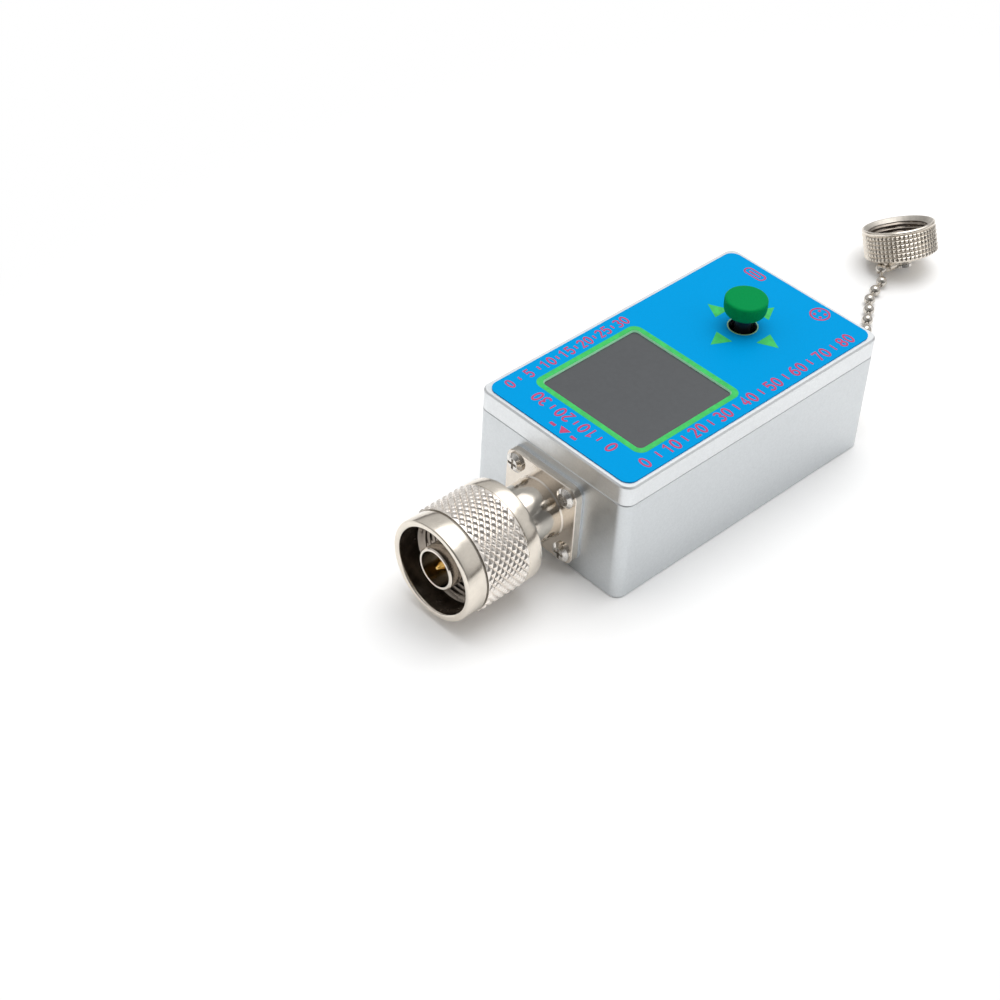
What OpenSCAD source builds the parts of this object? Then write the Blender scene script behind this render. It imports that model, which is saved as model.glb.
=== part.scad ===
// Pocket RF power meter: a two-piece aluminium case with a round coaxial input on its front,
// a colour screen and a joystick on its lid, and two ports on its rear.
// Frame: X runs along the case with the input at -X, +Z is up, and the origin is the middle of
// the underside. All sizes are millimetres.

/* [Case] */
// Length of the case
case_l = 67.4; // [64:0.2:76]
// Width of the case
case_w = 37.2; // [36.4:0.2:44]
// Height of the lower shell, up to the parting line
shell_h = 21.8; // [21.4:0.2:26]
// Height of the lid
lid_h = 4.2; // [3.8:0.1:6]
// Radius of the upright corners
corner_r = 2.2; // [2:0.1:3]
// Wall of the shell
wall = 2; // [1.8:0.1:2.4]
// Floor of the shell
floor_t = 1.8; // [1.2:0.1:3]
// Top plate of the lid
lid_t = 1.5; // [1:0.1:2]
// Chamfer round the top of the lid
lid_edge = 0.3; // [0.2:0.1:1]
// Chamfer round the underside
base_edge = 0.25; // [0.2:0.05:1]
// Chamfer on both sides of the parting line
seam_edge = 0.15; // [0.05:0.05:0.3]
// Radius of the posts for the lid screws
post_r = 2.4; // [2.2:0.1:2.7]
// Distance of the rear posts from the rear
rear_post_in = 11.7; // [11:0.1:13]
// Shank radius of the lid screws
lid_screw_r = 1; // [0.8:0.1:1.1]
// Depth of the recesses for the lid screws in the underside
screw_recess = 11; // [8:0.5:14]

/* [Label and screen] */
// Bare rim of the lid round the printed label
label_inset = 1; // [0.8:0.05:2]
// Thickness of the label
label_t = 0.2; // [0.1:0.05:0.4]
// Corner radius of the label
label_r = 2.1; // [1:0.1:3]
// Length of the screen window
window_l = 24.3; // [20:0.1:25]
// Width of the screen window
window_w = 24.7; // [20:0.1:25]
// Distance of the window's middle from the front
window_in = 21.5; // [20.5:0.1:22]
// Thickness of the display glass
glass_t = 1.5; // [1:0.1:2]

/* [Joystick] */
// Distance of the joystick in front of the rear quarter of the case
stick_off = 0.75; // [0.2:0.05:1.4]
// Radius of the joystick's hole in the lid
stick_hole_r = 2.7; // [2.6:0.1:3]
// Radius of the stem
stem_r = 1.6; // [1.3:0.05:1.6]
// Radius of the round cap
knob_r = 4.1; // [3.5:0.1:5]
// Height of the round cap
knob_h = 3.5; // [2.4:0.1:4]
// Clear height between the label and the cap
knob_gap = 3; // [2.6:0.1:4]
// Round of the cap's top edge
knob_round = 0.5; // [0.3:0.1:1]

/* [Input connector] */
// Height of the connector's axis above the middle of the shell's height
input_up = 0.3; // [0.1:0.1:0.8]
// Side of the square flange
flange_side = 17.5; // [17:0.1:18.5]
// Thickness of the flange
flange_t = 1.5; // [1.2:0.1:2]
// Thickness of the spacer plate behind the flange
spacer_t = 0.5; // [0.3:0.1:1]
// Distance between the flange screws
flange_pitch = 12.7; // [12:0.1:13]
// Radius of the neck
neck_r = 5.9; // [5.4:0.1:6]
// Clear length of the neck between flange and nut
neck_l = 8.7; // [6:0.1:12]
// Length of the coupling nut
nut_l = 17.2; // [16:0.1:20]
// Radius of the nut's plain front band
nut_front_r = 9.8; // [9.6:0.1:10]
// Radius of the nut's plain rear band
nut_rear_r = 10; // [9.9:0.05:10.2]
// Radius of the thread's crests inside the nut
thread_r = 7.5; // [7.3:0.05:7.6]
// Radius of the smooth mouth of the nut
mouth_r = 8.45; // [8.2:0.05:8.6]
// Depth of the smooth mouth
mouth_l = 4.4; // [3:0.1:6]
// Outer radius of the outer-conductor ferrule
ferrule_r = 4.1; // [4:0.05:4.2]
// Bore radius of the ferrule
ferrule_bore_r = 3.5; // [3.4:0.05:3.6]
// Distance of the ferrule's end behind the nut's rim
ferrule_inset = 0.95; // [0.5:0.05:2]
// Radius of the centre pin
pin_r = 1.5; // [1.3:0.05:1.6]
// Rows of diamonds round the nut
knurl_around = 32; // [24:1:40]
// Rows of diamonds along the nut
knurl_along = 7; // [5:1:9]
// Depth of the knurl
knurl_depth = 0.5; // [0.3:0.05:0.55]

/* [Rear ports] */
// Distance of the data port's middle from the far side of the case
data_in = 9.1; // [8.6:0.1:9.6]
// Width of the data port's shell
data_w = 8.94; // [8.5:0.02:9.4]
// Height of the data port's shell
data_h = 3.26; // [3:0.02:3.6]
// Distance of the serial socket's axis from the near side of the case
serial_in = 11.6; // [11.2:0.1:12]
// Height of the serial socket's axis above the middle of the shell's height
serial_up = 2.2; // [2:0.1:2.4]
// Radius of the serial socket's thread
serial_r = 6; // [5.8:0.05:6.1]
// Length of the serial socket's thread in front of its flange
serial_l = 4.6; // [4:0.1:6]
// Radius of the serial socket's flange
serial_flange_r = 7.6; // [7.4:0.1:7.8]

/* [Dust cap and chain] */
// Outer radius of the dust cap at the tips of its knurl
cap_r = 7.85; // [7.5:0.05:8.2]
// Height of the dust cap
cap_h = 6.8; // [6:0.1:8]
// Radius inside the dust cap
cap_bore_r = 6.3; // [6.2:0.05:6.5]
// Thickness of the dust cap's closed end
cap_end_t = 1.4; // [1.2:0.1:1.8]
// Lean of the dust cap as it lies
cap_tilt = 25.7; // [25:0.1:27]
// Compass direction in which the dust cap leans
cap_heading = 74.3; // [70:0.1:78]
// Square teeth round the dust cap
cap_teeth = 52; // [40:1:60]
// Rows of square teeth along the dust cap
cap_rows = 6; // [4:1:7]
// Diameter of a chain ball
ball_d = 2.4; // [2:0.1:2.6]
// Balls in the chain
ball_count = 14; // [10:1:16]

/* [Hidden] */
$fn = 64;
fit = 0.05;
gap = 0.15;
overlap = 0.01;
case_h = shell_h + lid_h;
label_z = case_h + label_t;
front_x = -case_l / 2;
rear_x = case_l / 2;
input_z = shell_h / 2 + input_up;
data_y = case_w / 2 - data_in;
serial_y = serial_in - case_w / 2;
serial_z = shell_h / 2 + serial_up;
room_l = case_l - 2 * wall;
room_w = case_w - 2 * wall;
room_r = 0.6;
lid_under = case_h - lid_t;
post_y = room_w / 2 - post_r;
front_post_x = -room_l / 2 + post_r;
rear_post_x = rear_x - rear_post_in;
posts = [for (x = [front_post_x, rear_post_x], sy = [-1, 1]) [x, sy * post_y]];
lid_screw_cover = 0.4;
lid_screw_end = lid_under - lid_screw_cover;
lid_head_r = lid_screw_r + 0.8;
lid_head_t = 1.3;
lip_t = 1;
lip_h = 1.2;
lip_end_w = 6;
label_l = case_l - 2 * label_inset;
label_w = case_w - 2 * label_inset;
window_x = front_x + window_in;
window_r = 0.4;
stick_x = case_l / 4 - stick_off;

// Two boards on stacked spacers
board_t = 1.6;
board_gap = 0.5;
tail_r = 0.65;
signal_z = input_z - tail_r - board_t;
signal_top = signal_z + board_t;
display_stack = 6.7;
upper_top = lid_under - display_stack;
upper_z = upper_top - board_t;
board_l = room_l - 2 * board_gap;
board_w = room_w - 2 * board_gap;
board_notch = 2 * post_r + board_gap;
spacer_r = 2;
front_spacer_in = 5.5;
front_spacer_side = 8.6;
rear_spacer_in = 21.7;
rear_spacer_side = 4.2;
front_spacer = [front_x + front_spacer_in, room_w / 2 - front_spacer_side];
rear_spacer = [rear_x - rear_spacer_in, room_w / 2 - rear_spacer_side];
spacers = [for (p = [front_spacer, rear_spacer], sy = [-1, 1]) [p.x, sy * p.y]];
board_screw_r = 1;
board_screw_bite = 3;
board_head_r = 1.8;
board_head_t = 1.2;
header_pitch = 2.54;
header_count = 6;
header_x = -8;
header_side = 6.6;
header_y = header_side - room_w / 2;
header_pin_r = 0.4;

// Packages on the boards
detector_side = 4;
detector_h = 0.9;
detector_in = 5.4;
regulator_l = 6.5;
regulator_w = 3.5;
regulator_h = 1.6;
regulator_x = 8;
regulator_y = 6;
crystal_l = 3.2;
crystal_w = 2.5;
crystal_h = 1;
crystal_x = 15;
crystal_y = 3;
controller_side = 7;
controller_h = 1.4;
controller_x = 10;
controller_y = 1;
memory_l = 5;
memory_w = 6;
memory_h = 1;
memory_x = -10;
memory_y = 4;

// Display stack under the lid
lens_z = lid_under;
glass_gap = 0.1;
glass_side = 0.75;
glass_top = lid_under - glass_gap;
glass_z = glass_top - glass_t;
glass_w = window_w + 2 * glass_side;
glass_edge = 0.9;
glass_ledge = 3.8;
glass_x0 = window_x - window_l / 2 - glass_edge;
glass_x1 = window_x + window_l / 2 + glass_ledge;
holder_x1 = window_x + window_l / 2 + glass_edge;
ribbon_t = 0.15;
ribbon_w = 12;
ribbon_seat = 1.1;
ribbon_slack = 0.4;
ribbon_r = (glass_z - upper_top - ribbon_seat) / 2;
socket_gap = 0.4;
socket_side = 1;
socket_l = 2.6;
socket_h = 1.6;

// Joystick switch, from the board upwards
switch_side = 10;
switch_h = 4.4;
cover_t = 0.6;
switch_floor = 0.5;
switch_room_r = 4.3;
cover_hole_r = 3.2;
pivot_z = upper_top + 2.8;
ring_in_r = 2.75;
ring_out_r = 3.7;
ring_h = 1;
trunnion_r = 0.35;
sleeve_r = 2.3;
sleeve_h = 2.4;
stem_foot = pivot_z - 1.2;
knob_z = label_z + knob_gap;
tenon_r = 1.2;
tenon_l = 1.9;

// Input connector: u is the distance in front of the case
flange_u = spacer_t + flange_t;
nut_u = flange_u + neck_l;
rim_u = nut_u + nut_l;
nut_wall = 2;
ferrule_u = rim_u - ferrule_inset;
seat_u = nut_u + 6.3;
clip_u = nut_u + nut_wall + 0.4;
clip_t = 1;
clip_depth = 0.7;
barrel_r = 4.6;
barrel_l = wall + 0.3;
tail_l = 6;
can_gap = 3;
can_l = 14;
can_w = 15;
can_h = 2.6;
can_t = 0.3;
can_x0 = front_x + barrel_l + tail_l + can_gap;
knurl_root_r = nut_front_r - 0.05;
nut_band_l = 3.1;
knurl_u = nut_u + nut_band_l;
knurl_l = nut_l - nut_band_l - mouth_l;
core_r = knurl_root_r - 0.35;
flange_r = 2.2;
flange_screw_r = 1;
flange_head_r = 1.95;

// Rear ports: v is the distance behind the case
data_depth = 7.3;
data_inset = 0.3;
data_r = 1.2;
data_z = signal_top + data_h / 2;
eyelet_t = 0.8;
serial_flange_t = 1.6;
serial_flange_v = eyelet_t + serial_flange_t;
serial_end_v = serial_flange_v + serial_l;
serial_bore_r = serial_r - 1.2;
serial_tail_l = 3.7;
serial_tail = wall + serial_tail_l;
insulator_v = 1.5;
insulator_play = 0.02;
serial_lead_in = 2.5;
lead_lengths = [9.5, 11.9];
serial_pin_circle = 2.3;
serial_pin_r = 0.5;
serial_nut_t = 2.4;
serial_washer_t = 0.8;
cup_r = 1.4;
cup_l = 2.8;
cup_gap = 0.1;
cup_z = serial_z - serial_flange_r - cup_r - cup_gap;

// Dust cap as it lies on the table, on the edge of its closed end and on the rivet's head,
// and the chain that holds it.
// The route's points count sideways from the mouth of the cup. Their third number is the share of
// the cup's height that the chain has there, above its height on the table.
chain_start = [rear_x + eyelet_t + cup_l, serial_y, cup_z];
cap_rim_plain = 0.8;
cap_tooth = 0.35;
cap_foot = 0.4;
cap_core_r = cap_r - cap_tooth - 0.25;
cap_foot_r = cap_core_r - 0.3;
cap_lift = 0.03;
cap_far = 48.8;
cap_aside = 20.6;
cap_seat = [chain_start.x + cap_far, chain_start.y + cap_aside, cap_foot_r * sin(cap_tilt) + cap_lift];
rivet_r = 1;
rivet_head_r = 1.9;
rivet_head_t = 0.6;
rivet_reach = (cap_foot_r - rivet_head_r) * tan(cap_tilt) - 0.05;
tag_t = 0.6;
tag_z = rivet_head_t - rivet_reach + gap;
tag_angle = 100;
tag_reach = 4.6;
tag_cup_r = 1.1;
tag_cup_l = 1.8;
tag_cup_z = tag_z + tag_t / 2;
tag_mouth = cap_point([tag_reach * cos(tag_angle), tag_reach * sin(tag_angle), tag_cup_z]);
tag_way = cap_point([2 * tag_reach * cos(tag_angle), 2 * tag_reach * sin(tag_angle), tag_cup_z]) - tag_mouth;
link_r = 0.4;
link_play = 0.03;
chain_points = [
    [0, 0, 1], [2.3, 0, 1], [4.7, 0.2, 0.67], [7.1, 0.6, 0.31], [9.7, 1.3, 0.09],
    [12.3, 2.2, 0], [14.9, 3.4, 0], [17.7, 5, 0], [20.7, 7, 0], [23.7, 9.4, 0],
    [26.7, 11.6, 0], [30.1, 13.9, 0], [33.1, 16.2, 0], [36.4, 17.5, 0], [39.4, 18.1, 0],
    [40.9, 19.3, 0.16],
];
chain_lift = 0.05;
chain_low_z = ball_d / 2 + chain_lift;
chain_route = concat(
    [
        for (p = chain_points)
            [chain_start.x + p.x, chain_start.y + p.y, chain_low_z + p.z * (cup_z - chain_low_z)]
    ],
    [tag_mouth + tag_way / 2, tag_mouth]
);

// Place in the room of a point given in the dust cap's own frame
function cap_point(p) =
    let (x = p.x * cos(cap_tilt) + p.z * sin(cap_tilt))
        cap_seat + [
            x * cos(cap_heading) - p.y * sin(cap_heading),
            x * sin(cap_heading) + p.y * cos(cap_heading),
            p.z * cos(cap_tilt) - p.x * sin(cap_tilt)
        ];

// Half outline of a block's side: x is the half width, with optional chamfers below and above
function side_points(x, h, low, high) =
    [[x - low, 0], if (low > 0) [x, low], if (high > 0) [x, h - high], [x - high, h]];

function mirrored(points) =
    [for (i = [len(points) - 1:-1:0]) [-points[i].x, points[i].y]];

// Bar profile from one side to the other
module bar_profile(width, h, low, high) {
    side = side_points(width / 2, h, low, high);
    polygon(concat(side, mirrored(side)));
}

// Block with round upright corners and chamfered edges, standing on z = 0
module rounded_block(l, w, h, r, low = 0, high = 0) {
    rotate([90, 0, 90])
        linear_extrude(l - 2 * r, center = true)
            bar_profile(w, h, low, high);
    rotate([90, 0, 0])
        linear_extrude(w - 2 * r, center = true)
            bar_profile(l, h, low, high);
    for (sx = [-1, 1], sy = [-1, 1])
        translate([sx * (l / 2 - r), sy * (w / 2 - r), 0])
            rotate_extrude()
                polygon(concat([[0, 0]], side_points(r, h, low, high), [[0, h]]));
}

// Plain block from its lowest to its highest corner
module span(low, high) {
    translate(low)
        cube(high - low);
}

// Places children with their z along the input's axis, z = 0 on the case's front
module on_front(u = 0) {
    translate([front_x - u, 0, input_z])
        rotate([0, -90, 0])
            children();
}

// Places children with their z along the serial socket's axis, z = 0 on the case's rear
module on_rear(v = 0) {
    translate([rear_x + v, serial_y, serial_z])
        rotate([0, 90, 0])
            children();
}

// Places children in the dust cap's own frame, z = 0 on its closed end
module on_cap() {
    translate(cap_seat)
        rotate([0, cap_tilt, cap_heading])
            children();
}

// Flat ring
module washer(outer_r, inner_r, h) {
    difference() {
        cylinder(h = h, r = outer_r);
        translate([0, 0, -overlap])
            cylinder(h = h + 2 * overlap, r = inner_r);
    }
}

// Cross-recess screw, its head's seat on z = 0 and its shank going down
module cross_screw(shank_r, shank_l, head_r, head_h) {
    cross_w = head_r * 0.28;
    cross_l = head_r * 1.15;
    difference() {
        union() {
            translate([0, 0, -shank_l])
                cylinder(h = shank_l + overlap, r = shank_r);
            cylinder(h = head_h * 0.45, r = head_r);
            translate([0, 0, head_h * 0.45])
                cylinder(h = head_h * 0.55, r1 = head_r, r2 = head_r * 0.62);
        }
        for (turn = [0, 90])
            rotate([0, 0, turn])
                translate([-cross_l / 2, -cross_w / 2, head_h * 0.4])
                    cube([cross_l, cross_w, head_h]);
    }
}

// Hollow band whose outside is a grid of pyramids, from z = 0 to z = length.
// Diamonds stagger row by row; squares line up.
module diamond_band(root_r, tip_r, bore_r, length, around, along) {
    columns = 2 * around;
    rows = 2 * along;
    outer = [
        for (j = [0:rows], i = [0:columns - 1])
            let (r = (i + j) % 2 == 1 && j > 0 && j < rows ? tip_r : root_r)
                [r * cos(180 * i / around), r * sin(180 * i / around), length * j / rows]
    ];
    inner = ring_points(bore_r, columns, length);
    function at(i, j) = j * columns + i % columns;
    sides = [
        for (j = [0:rows - 1], i = [0:columns - 1])
            let (a = at(i, j), b = at(i + 1, j), c = at(i + 1, j + 1), d = at(i, j + 1))
                each (i + j) % 2 == 0 ? [[a, c, b], [a, d, c]] : [[a, d, b], [b, d, c]]
    ];
    polyhedron(concat(outer, inner), concat(sides, lining(columns, rows * columns, len(outer))));
}

module square_band(root_r, tip_r, bore_r, length, around, along) {
    corners = [
        for (j = [0:along], i = [0:around - 1])
            [root_r * cos(360 * i / around), root_r * sin(360 * i / around), length * j / along]
    ];
    tips = [
        for (j = [0:along - 1], i = [0:around - 1])
            let (turn = 360 * (i + 0.5) / around)
                [tip_r * cos(turn), tip_r * sin(turn), length * (j + 0.5) / along]
    ];
    inner = ring_points(bore_r, around, length);
    function at(i, j) = j * around + i % around;
    sides = [
        for (j = [0:along - 1], i = [0:around - 1])
            let (a = at(i, j), b = at(i + 1, j), c = at(i + 1, j + 1), d = at(i, j + 1))
                let (tip = len(corners) + j * around + i)
                    each [[a, tip, b], [b, tip, c], [c, tip, d], [d, tip, a]]
    ];
    polyhedron(
        concat(corners, tips, inner),
        concat(sides, lining(around, along * around, len(corners) + len(tips)))
    );
}

// Two rings of bore points, below and above
function ring_points(r, count, length) =
    [for (z = [0, length], i = [0:count - 1]) [r * cos(360 * i / count), r * sin(360 * i / count), z]];

// End faces and bore of a band: its top ring starts at index top, its bore at index bore
function lining(count, top, bore) = [
    for (i = [0:count - 1])
        let (k = (i + 1) % count)
            each [
                [i, k, bore + k, bore + i],
                [top + k, top + i, bore + count + i, bore + count + k],
                [bore + i, bore + k, bore + count + k, bore + count + i]
            ]
];

// Case

module bottom_shell() {
    color("silver")
        difference() {
            union() {
                difference() {
                    rounded_block(case_l, case_w, shell_h, corner_r, base_edge, seam_edge);
                    translate([0, 0, floor_t])
                        rounded_block(room_l, room_w, shell_h, room_r);
                }
                for (p = posts)
                    translate([p.x, p.y, floor_t - overlap])
                        post(shell_h - floor_t + overlap, p);
                for (p = spacers)
                    translate([p.x, p.y, floor_t - overlap])
                        cylinder(h = signal_z - floor_t + overlap, r = spacer_r + 0.4);
            }
            for (p = posts)
                translate([p.x, p.y, -overlap]) {
                    cylinder(h = screw_recess + overlap, r = lid_screw_r + 0.9);
                    cylinder(h = shell_h + 1, r = lid_screw_r + fit);
                }
            for (p = spacers)
                translate([p.x, p.y, signal_z - board_screw_bite - 1])
                    cylinder(h = board_screw_bite + 2, r = board_screw_r + fit);
            on_front(-wall - overlap)
                cylinder(h = wall + 2 * overlap, r = barrel_r + fit);
            flange_corners(-wall - overlap)
                cylinder(h = wall + 2 * overlap, r = flange_screw_r + fit);
            on_rear(-wall - overlap)
                cylinder(h = wall + 2 * overlap, r = serial_r + fit);
            translate([rear_x - wall - overlap, data_y, data_z])
                rotate([0, 90, 0])
                    rounded_block(
                        data_h + 2 * gap, data_w + 2 * gap, wall + 2 * overlap, data_r + gap
                    );
        }
}

// Screw post that grows out of the nearest side wall
module post(h, place) {
    cylinder(h = h, r = post_r);
    side = sign(place.y);
    translate([-post_r, side > 0 ? 0 : -post_r - wall / 2, 0])
        cube([2 * post_r, post_r + wall / 2, h]);
}

module flange_corners(u) {
    for (sy = [-1, 1], sz = [-1, 1])
        translate([0, sy * flange_pitch / 2, sz * flange_pitch / 2])
            on_front(u)
                children();
}

module top_lid() {
    color("silver")
        difference() {
            union() {
                difference() {
                    translate([0, 0, shell_h])
                        rounded_block(case_l, case_w, lid_h, corner_r, seam_edge, lid_edge);
                    translate([0, 0, shell_h - overlap])
                        rounded_block(room_l, room_w, lid_h - lid_t + overlap, room_r);
                }
                for (p = posts)
                    translate([p.x, p.y, shell_h])
                        post(lid_under - shell_h + overlap, p);
                lid_lips();
            }
            for (p = posts)
                translate([p.x, p.y, shell_h - overlap])
                    cylinder(h = lid_screw_end - shell_h + 0.2, r = lid_screw_r + fit);
            translate([window_x, 0, shell_h])
                rounded_block(window_l + 2 * fit, window_w + 2 * fit, lid_h + 1, window_r + fit);
            translate([stick_x, 0, shell_h])
                cylinder(h = lid_h + 1, r = stick_hole_r + gap);
        }
}

// Ribs that locate the lid inside the shell's walls
module lid_lips() {
    long_x0 = front_post_x + post_r + 1;
    long_x1 = rear_post_x - post_r - 1;
    rib_y = room_w / 2 - gap;
    rib_x = room_l / 2 - gap;
    end_y = lip_end_w / 2;
    for (side = [0, 1])
        mirror([0, side, 0])
            span([long_x0, rib_y - lip_t, shell_h - lip_h], [long_x1, rib_y, lid_under + overlap]);
    for (side = [0, 1])
        mirror([side, 0, 0])
            span([rib_x - lip_t, -end_y, shell_h - lip_h], [rib_x, end_y, lid_under + overlap]);
}

module lid_screws() {
    color("dimgray")
        for (p = posts)
            translate([p.x, p.y, screw_recess])
                mirror([0, 0, 1])
                    cross_screw(lid_screw_r, lid_screw_end - screw_recess, lid_head_r, lid_head_t);
}

module front_label() {
    color("deepskyblue")
        translate([0, 0, case_h])
            difference() {
                rounded_block(label_l, label_w, label_t, label_r);
                translate([window_x, 0, -overlap])
                    rounded_block(window_l + 2 * fit, window_w + 2 * fit, label_t + 1, window_r + fit);
                translate([stick_x, 0, -overlap])
                    cylinder(h = label_t + 1, r = stick_hole_r);
            }
}

// Display

module display_window() {
    color("dimgray")
        translate([window_x, 0, lens_z])
            rounded_block(window_l, window_w, label_z - lens_z, window_r);
}

module display_glass() {
    color("black")
        span([glass_x0, -glass_w / 2, glass_z], [glass_x1, glass_w / 2, glass_top]);
}

module display_holder() {
    frame_t = 1.6;
    color("white")
        difference() {
            span([glass_x0, -glass_w / 2, upper_top], [holder_x1, glass_w / 2, glass_z]);
            span(
                [glass_x0 + frame_t, frame_t - glass_w / 2, upper_top - overlap],
                [holder_x1 - frame_t, glass_w / 2 - frame_t, glass_z + overlap]
            );
        }
}

// Ribbon that folds from under the glass down to its socket on the board
module display_ribbon() {
    top = glass_z;
    bend_x = glass_x1 + ribbon_slack;
    color("orange")
        translate([0, ribbon_w / 2, 0])
            rotate([90, 0, 0])
                union() {
                    span2d([holder_x1 + socket_gap, top - ribbon_t], [bend_x, top], ribbon_w);
                    translate([bend_x, top - ribbon_r, 0])
                        half_loop(ribbon_r, ribbon_t, ribbon_w);
                    span2d(
                        [holder_x1 + socket_gap + socket_l, top - 2 * ribbon_r],
                        [bend_x, top - 2 * ribbon_r + ribbon_t], ribbon_w
                    );
                }
}

module span2d(low, high, thick) {
    translate([low.x, low.y, 0])
        cube([high.x - low.x, high.y - low.y, thick]);
}

module half_loop(r, t, thick) {
    intersection() {
        washer(r, r - t, thick);
        translate([0, -r - 1, 0])
            cube([r + 1, 2 * r + 2, thick]);
    }
}

module ribbon_socket() {
    x0 = holder_x1 + socket_gap;
    y1 = ribbon_w / 2 + socket_side;
    color("ivory")
        span([x0, -y1, upper_top], [x0 + socket_l, y1, upper_top + socket_h]);
}

// Boards

// Board with notches that clear the lid posts and the serial socket
module board(z) {
    notch = [2 * (post_r + board_gap), 2 * board_notch, board_t + 2 * overlap];
    difference() {
        translate([0, 0, z])
            rounded_block(board_l, board_w, board_t, 1);
        for (p = posts)
            translate([p.x - notch.x / 2, p.y + sign(p.y) * board_notch / 2 - board_notch, z - overlap])
                cube(notch);
        span(
            [rear_x - serial_tail - board_gap, -room_w, z - overlap],
            [room_l, serial_y + serial_r + 3, z + board_t + overlap]
        );
        for (p = spacers)
            translate([p.x, p.y, z - overlap])
                cylinder(h = board_t + 2 * overlap, r = board_screw_r + gap);
    }
}

module display_board() {
    color("darkgreen")
        board(upper_z);
}

module signal_board() {
    color("darkgreen")
        board(signal_z);
}

module board_spacers() {
    color("gold")
        for (p = spacers)
            translate([p.x, p.y, signal_top])
                difference() {
                    cylinder(h = upper_z - signal_top, r = spacer_r, $fn = 6);
                    translate([0, 0, -overlap])
                        cylinder(h = upper_z - signal_top + 2 * overlap, r = board_screw_r + fit);
                }
}

// Screws from above through the upper board, the spacer and the lower board into the shell
module board_screws() {
    shank_l = upper_top - signal_z + board_screw_bite;
    color("silver")
        for (p = spacers)
            translate([p.x, p.y, upper_top])
                cross_screw(board_screw_r, shank_l, board_head_r, board_head_t);
}

module header_block() {
    color("black")
        difference() {
            span(
                [header_x, header_y - header_pitch / 2, signal_top],
                [header_x + header_count * header_pitch, header_y + header_pitch / 2, upper_z]
            );
            header_row(signal_top - overlap, upper_z + overlap, header_pin_r + fit);
        }
}

module header_row(z0, z1, r) {
    for (k = [0:header_count - 1])
        translate([header_x + (k + 0.5) * header_pitch, header_y, z0])
            cylinder(h = z1 - z0, r = r);
}

module header_pins() {
    color("gold")
        header_row(signal_top, upper_z, header_pin_r);
}

module shield_can() {
    color("lightgray")
        difference() {
            span([can_x0, -can_w / 2, signal_top], [can_x0 + can_l, can_w / 2, signal_top + can_h]);
            span(
                [can_x0 + can_t, can_t - can_w / 2, signal_top - overlap],
                [can_x0 + can_l - can_t, can_w / 2 - can_t, signal_top + can_h - can_t]
            );
        }
}

// Packages on the boards: detector under the can, regulator, and the controller overhead
module chips() {
    color([0.1, 0.1, 0.1]) {
        chip([can_x0 + detector_in, 0, signal_top], [detector_side, detector_side, detector_h]);
        chip([regulator_x, regulator_y, signal_top], [regulator_l, regulator_w, regulator_h]);
        chip([crystal_x, crystal_y, signal_top], [crystal_l, crystal_w, crystal_h]);
        chip(
            [controller_x, controller_y, upper_z - controller_h],
            [controller_side, controller_side, controller_h]
        );
        chip([memory_x, memory_y, upper_z - memory_h], [memory_l, memory_w, memory_h]);
    }
}

module chip(place, size) {
    translate([place.x - size.x / 2, place.y - size.y / 2, place.z])
        cube(size);
}

// Joystick

module at_stick(z) {
    translate([stick_x, 0, z])
        children();
}

module switch_housing() {
    color([0.12, 0.12, 0.12])
        difference() {
            at_stick(upper_top)
                translate([-switch_side / 2, -switch_side / 2, 0])
                    cube([switch_side, switch_side, switch_h]);
            at_stick(upper_top + switch_floor)
                cylinder(h = switch_h, r = switch_room_r);
            at_stick(pivot_z)
                rotate([0, 90, 0])
                    cylinder(h = switch_side - 0.4, r = trunnion_r + fit, center = true);
        }
}

module switch_cover() {
    color("silver")
        at_stick(upper_top + switch_h)
            difference() {
                translate([-switch_side / 2, -switch_side / 2, 0])
                    cube([switch_side, switch_side, cover_t]);
                translate([0, 0, -overlap])
                    cylinder(h = cover_t + 2 * overlap, r = cover_hole_r);
            }
}

module switch_dome() {
    dome_r = 2.6;
    dome_h = 0.35;
    color("lightgray")
        at_stick(upper_top + switch_floor)
            rotate_extrude()
                polygon([[0, dome_h - 0.1], [dome_r - 0.6, 0], [dome_r, 0], [dome_r, 0.1],
                         [dome_r - 0.5, 0.1], [0, dome_h]]);
}

// Outer ring of the pivot: it rocks about X in the housing
module switch_ring() {
    color("dimgray")
        at_stick(pivot_z)
            difference() {
                union() {
                    translate([0, 0, -ring_h / 2])
                        washer(ring_out_r, ring_in_r, ring_h);
                    for (turn = [0, 180])
                        rotate([0, 90, turn])
                            translate([0, 0, ring_out_r - 0.4])
                                cylinder(h = switch_side / 2 - 0.3 - ring_out_r + 0.4, r = trunnion_r);
                }
                rotate([90, 0, 0])
                    cylinder(h = 2 * ring_out_r + 1, r = trunnion_r + fit, center = true);
            }
}

// Inner sleeve of the pivot: it rocks about Y in the ring and guides the stem
module switch_sleeve() {
    color("gray")
        at_stick(pivot_z) {
            translate([0, 0, -sleeve_h / 2])
                washer(sleeve_r, stem_r + fit, sleeve_h);
            for (turn = [90, -90])
                rotate([0, 90, turn])
                    translate([0, 0, sleeve_r - 0.3])
                        cylinder(h = ring_out_r - 0.2 - sleeve_r + 0.3, r = trunnion_r);
        }
}

module joystick_stem() {
    color([0.06, 0.06, 0.06])
        at_stick(0) {
            translate([0, 0, stem_foot])
                cylinder(h = knob_z - stem_foot, r = stem_r);
            translate([0, 0, knob_z - overlap])
                cylinder(h = tenon_l + overlap, r = tenon_r);
        }
}

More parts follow.
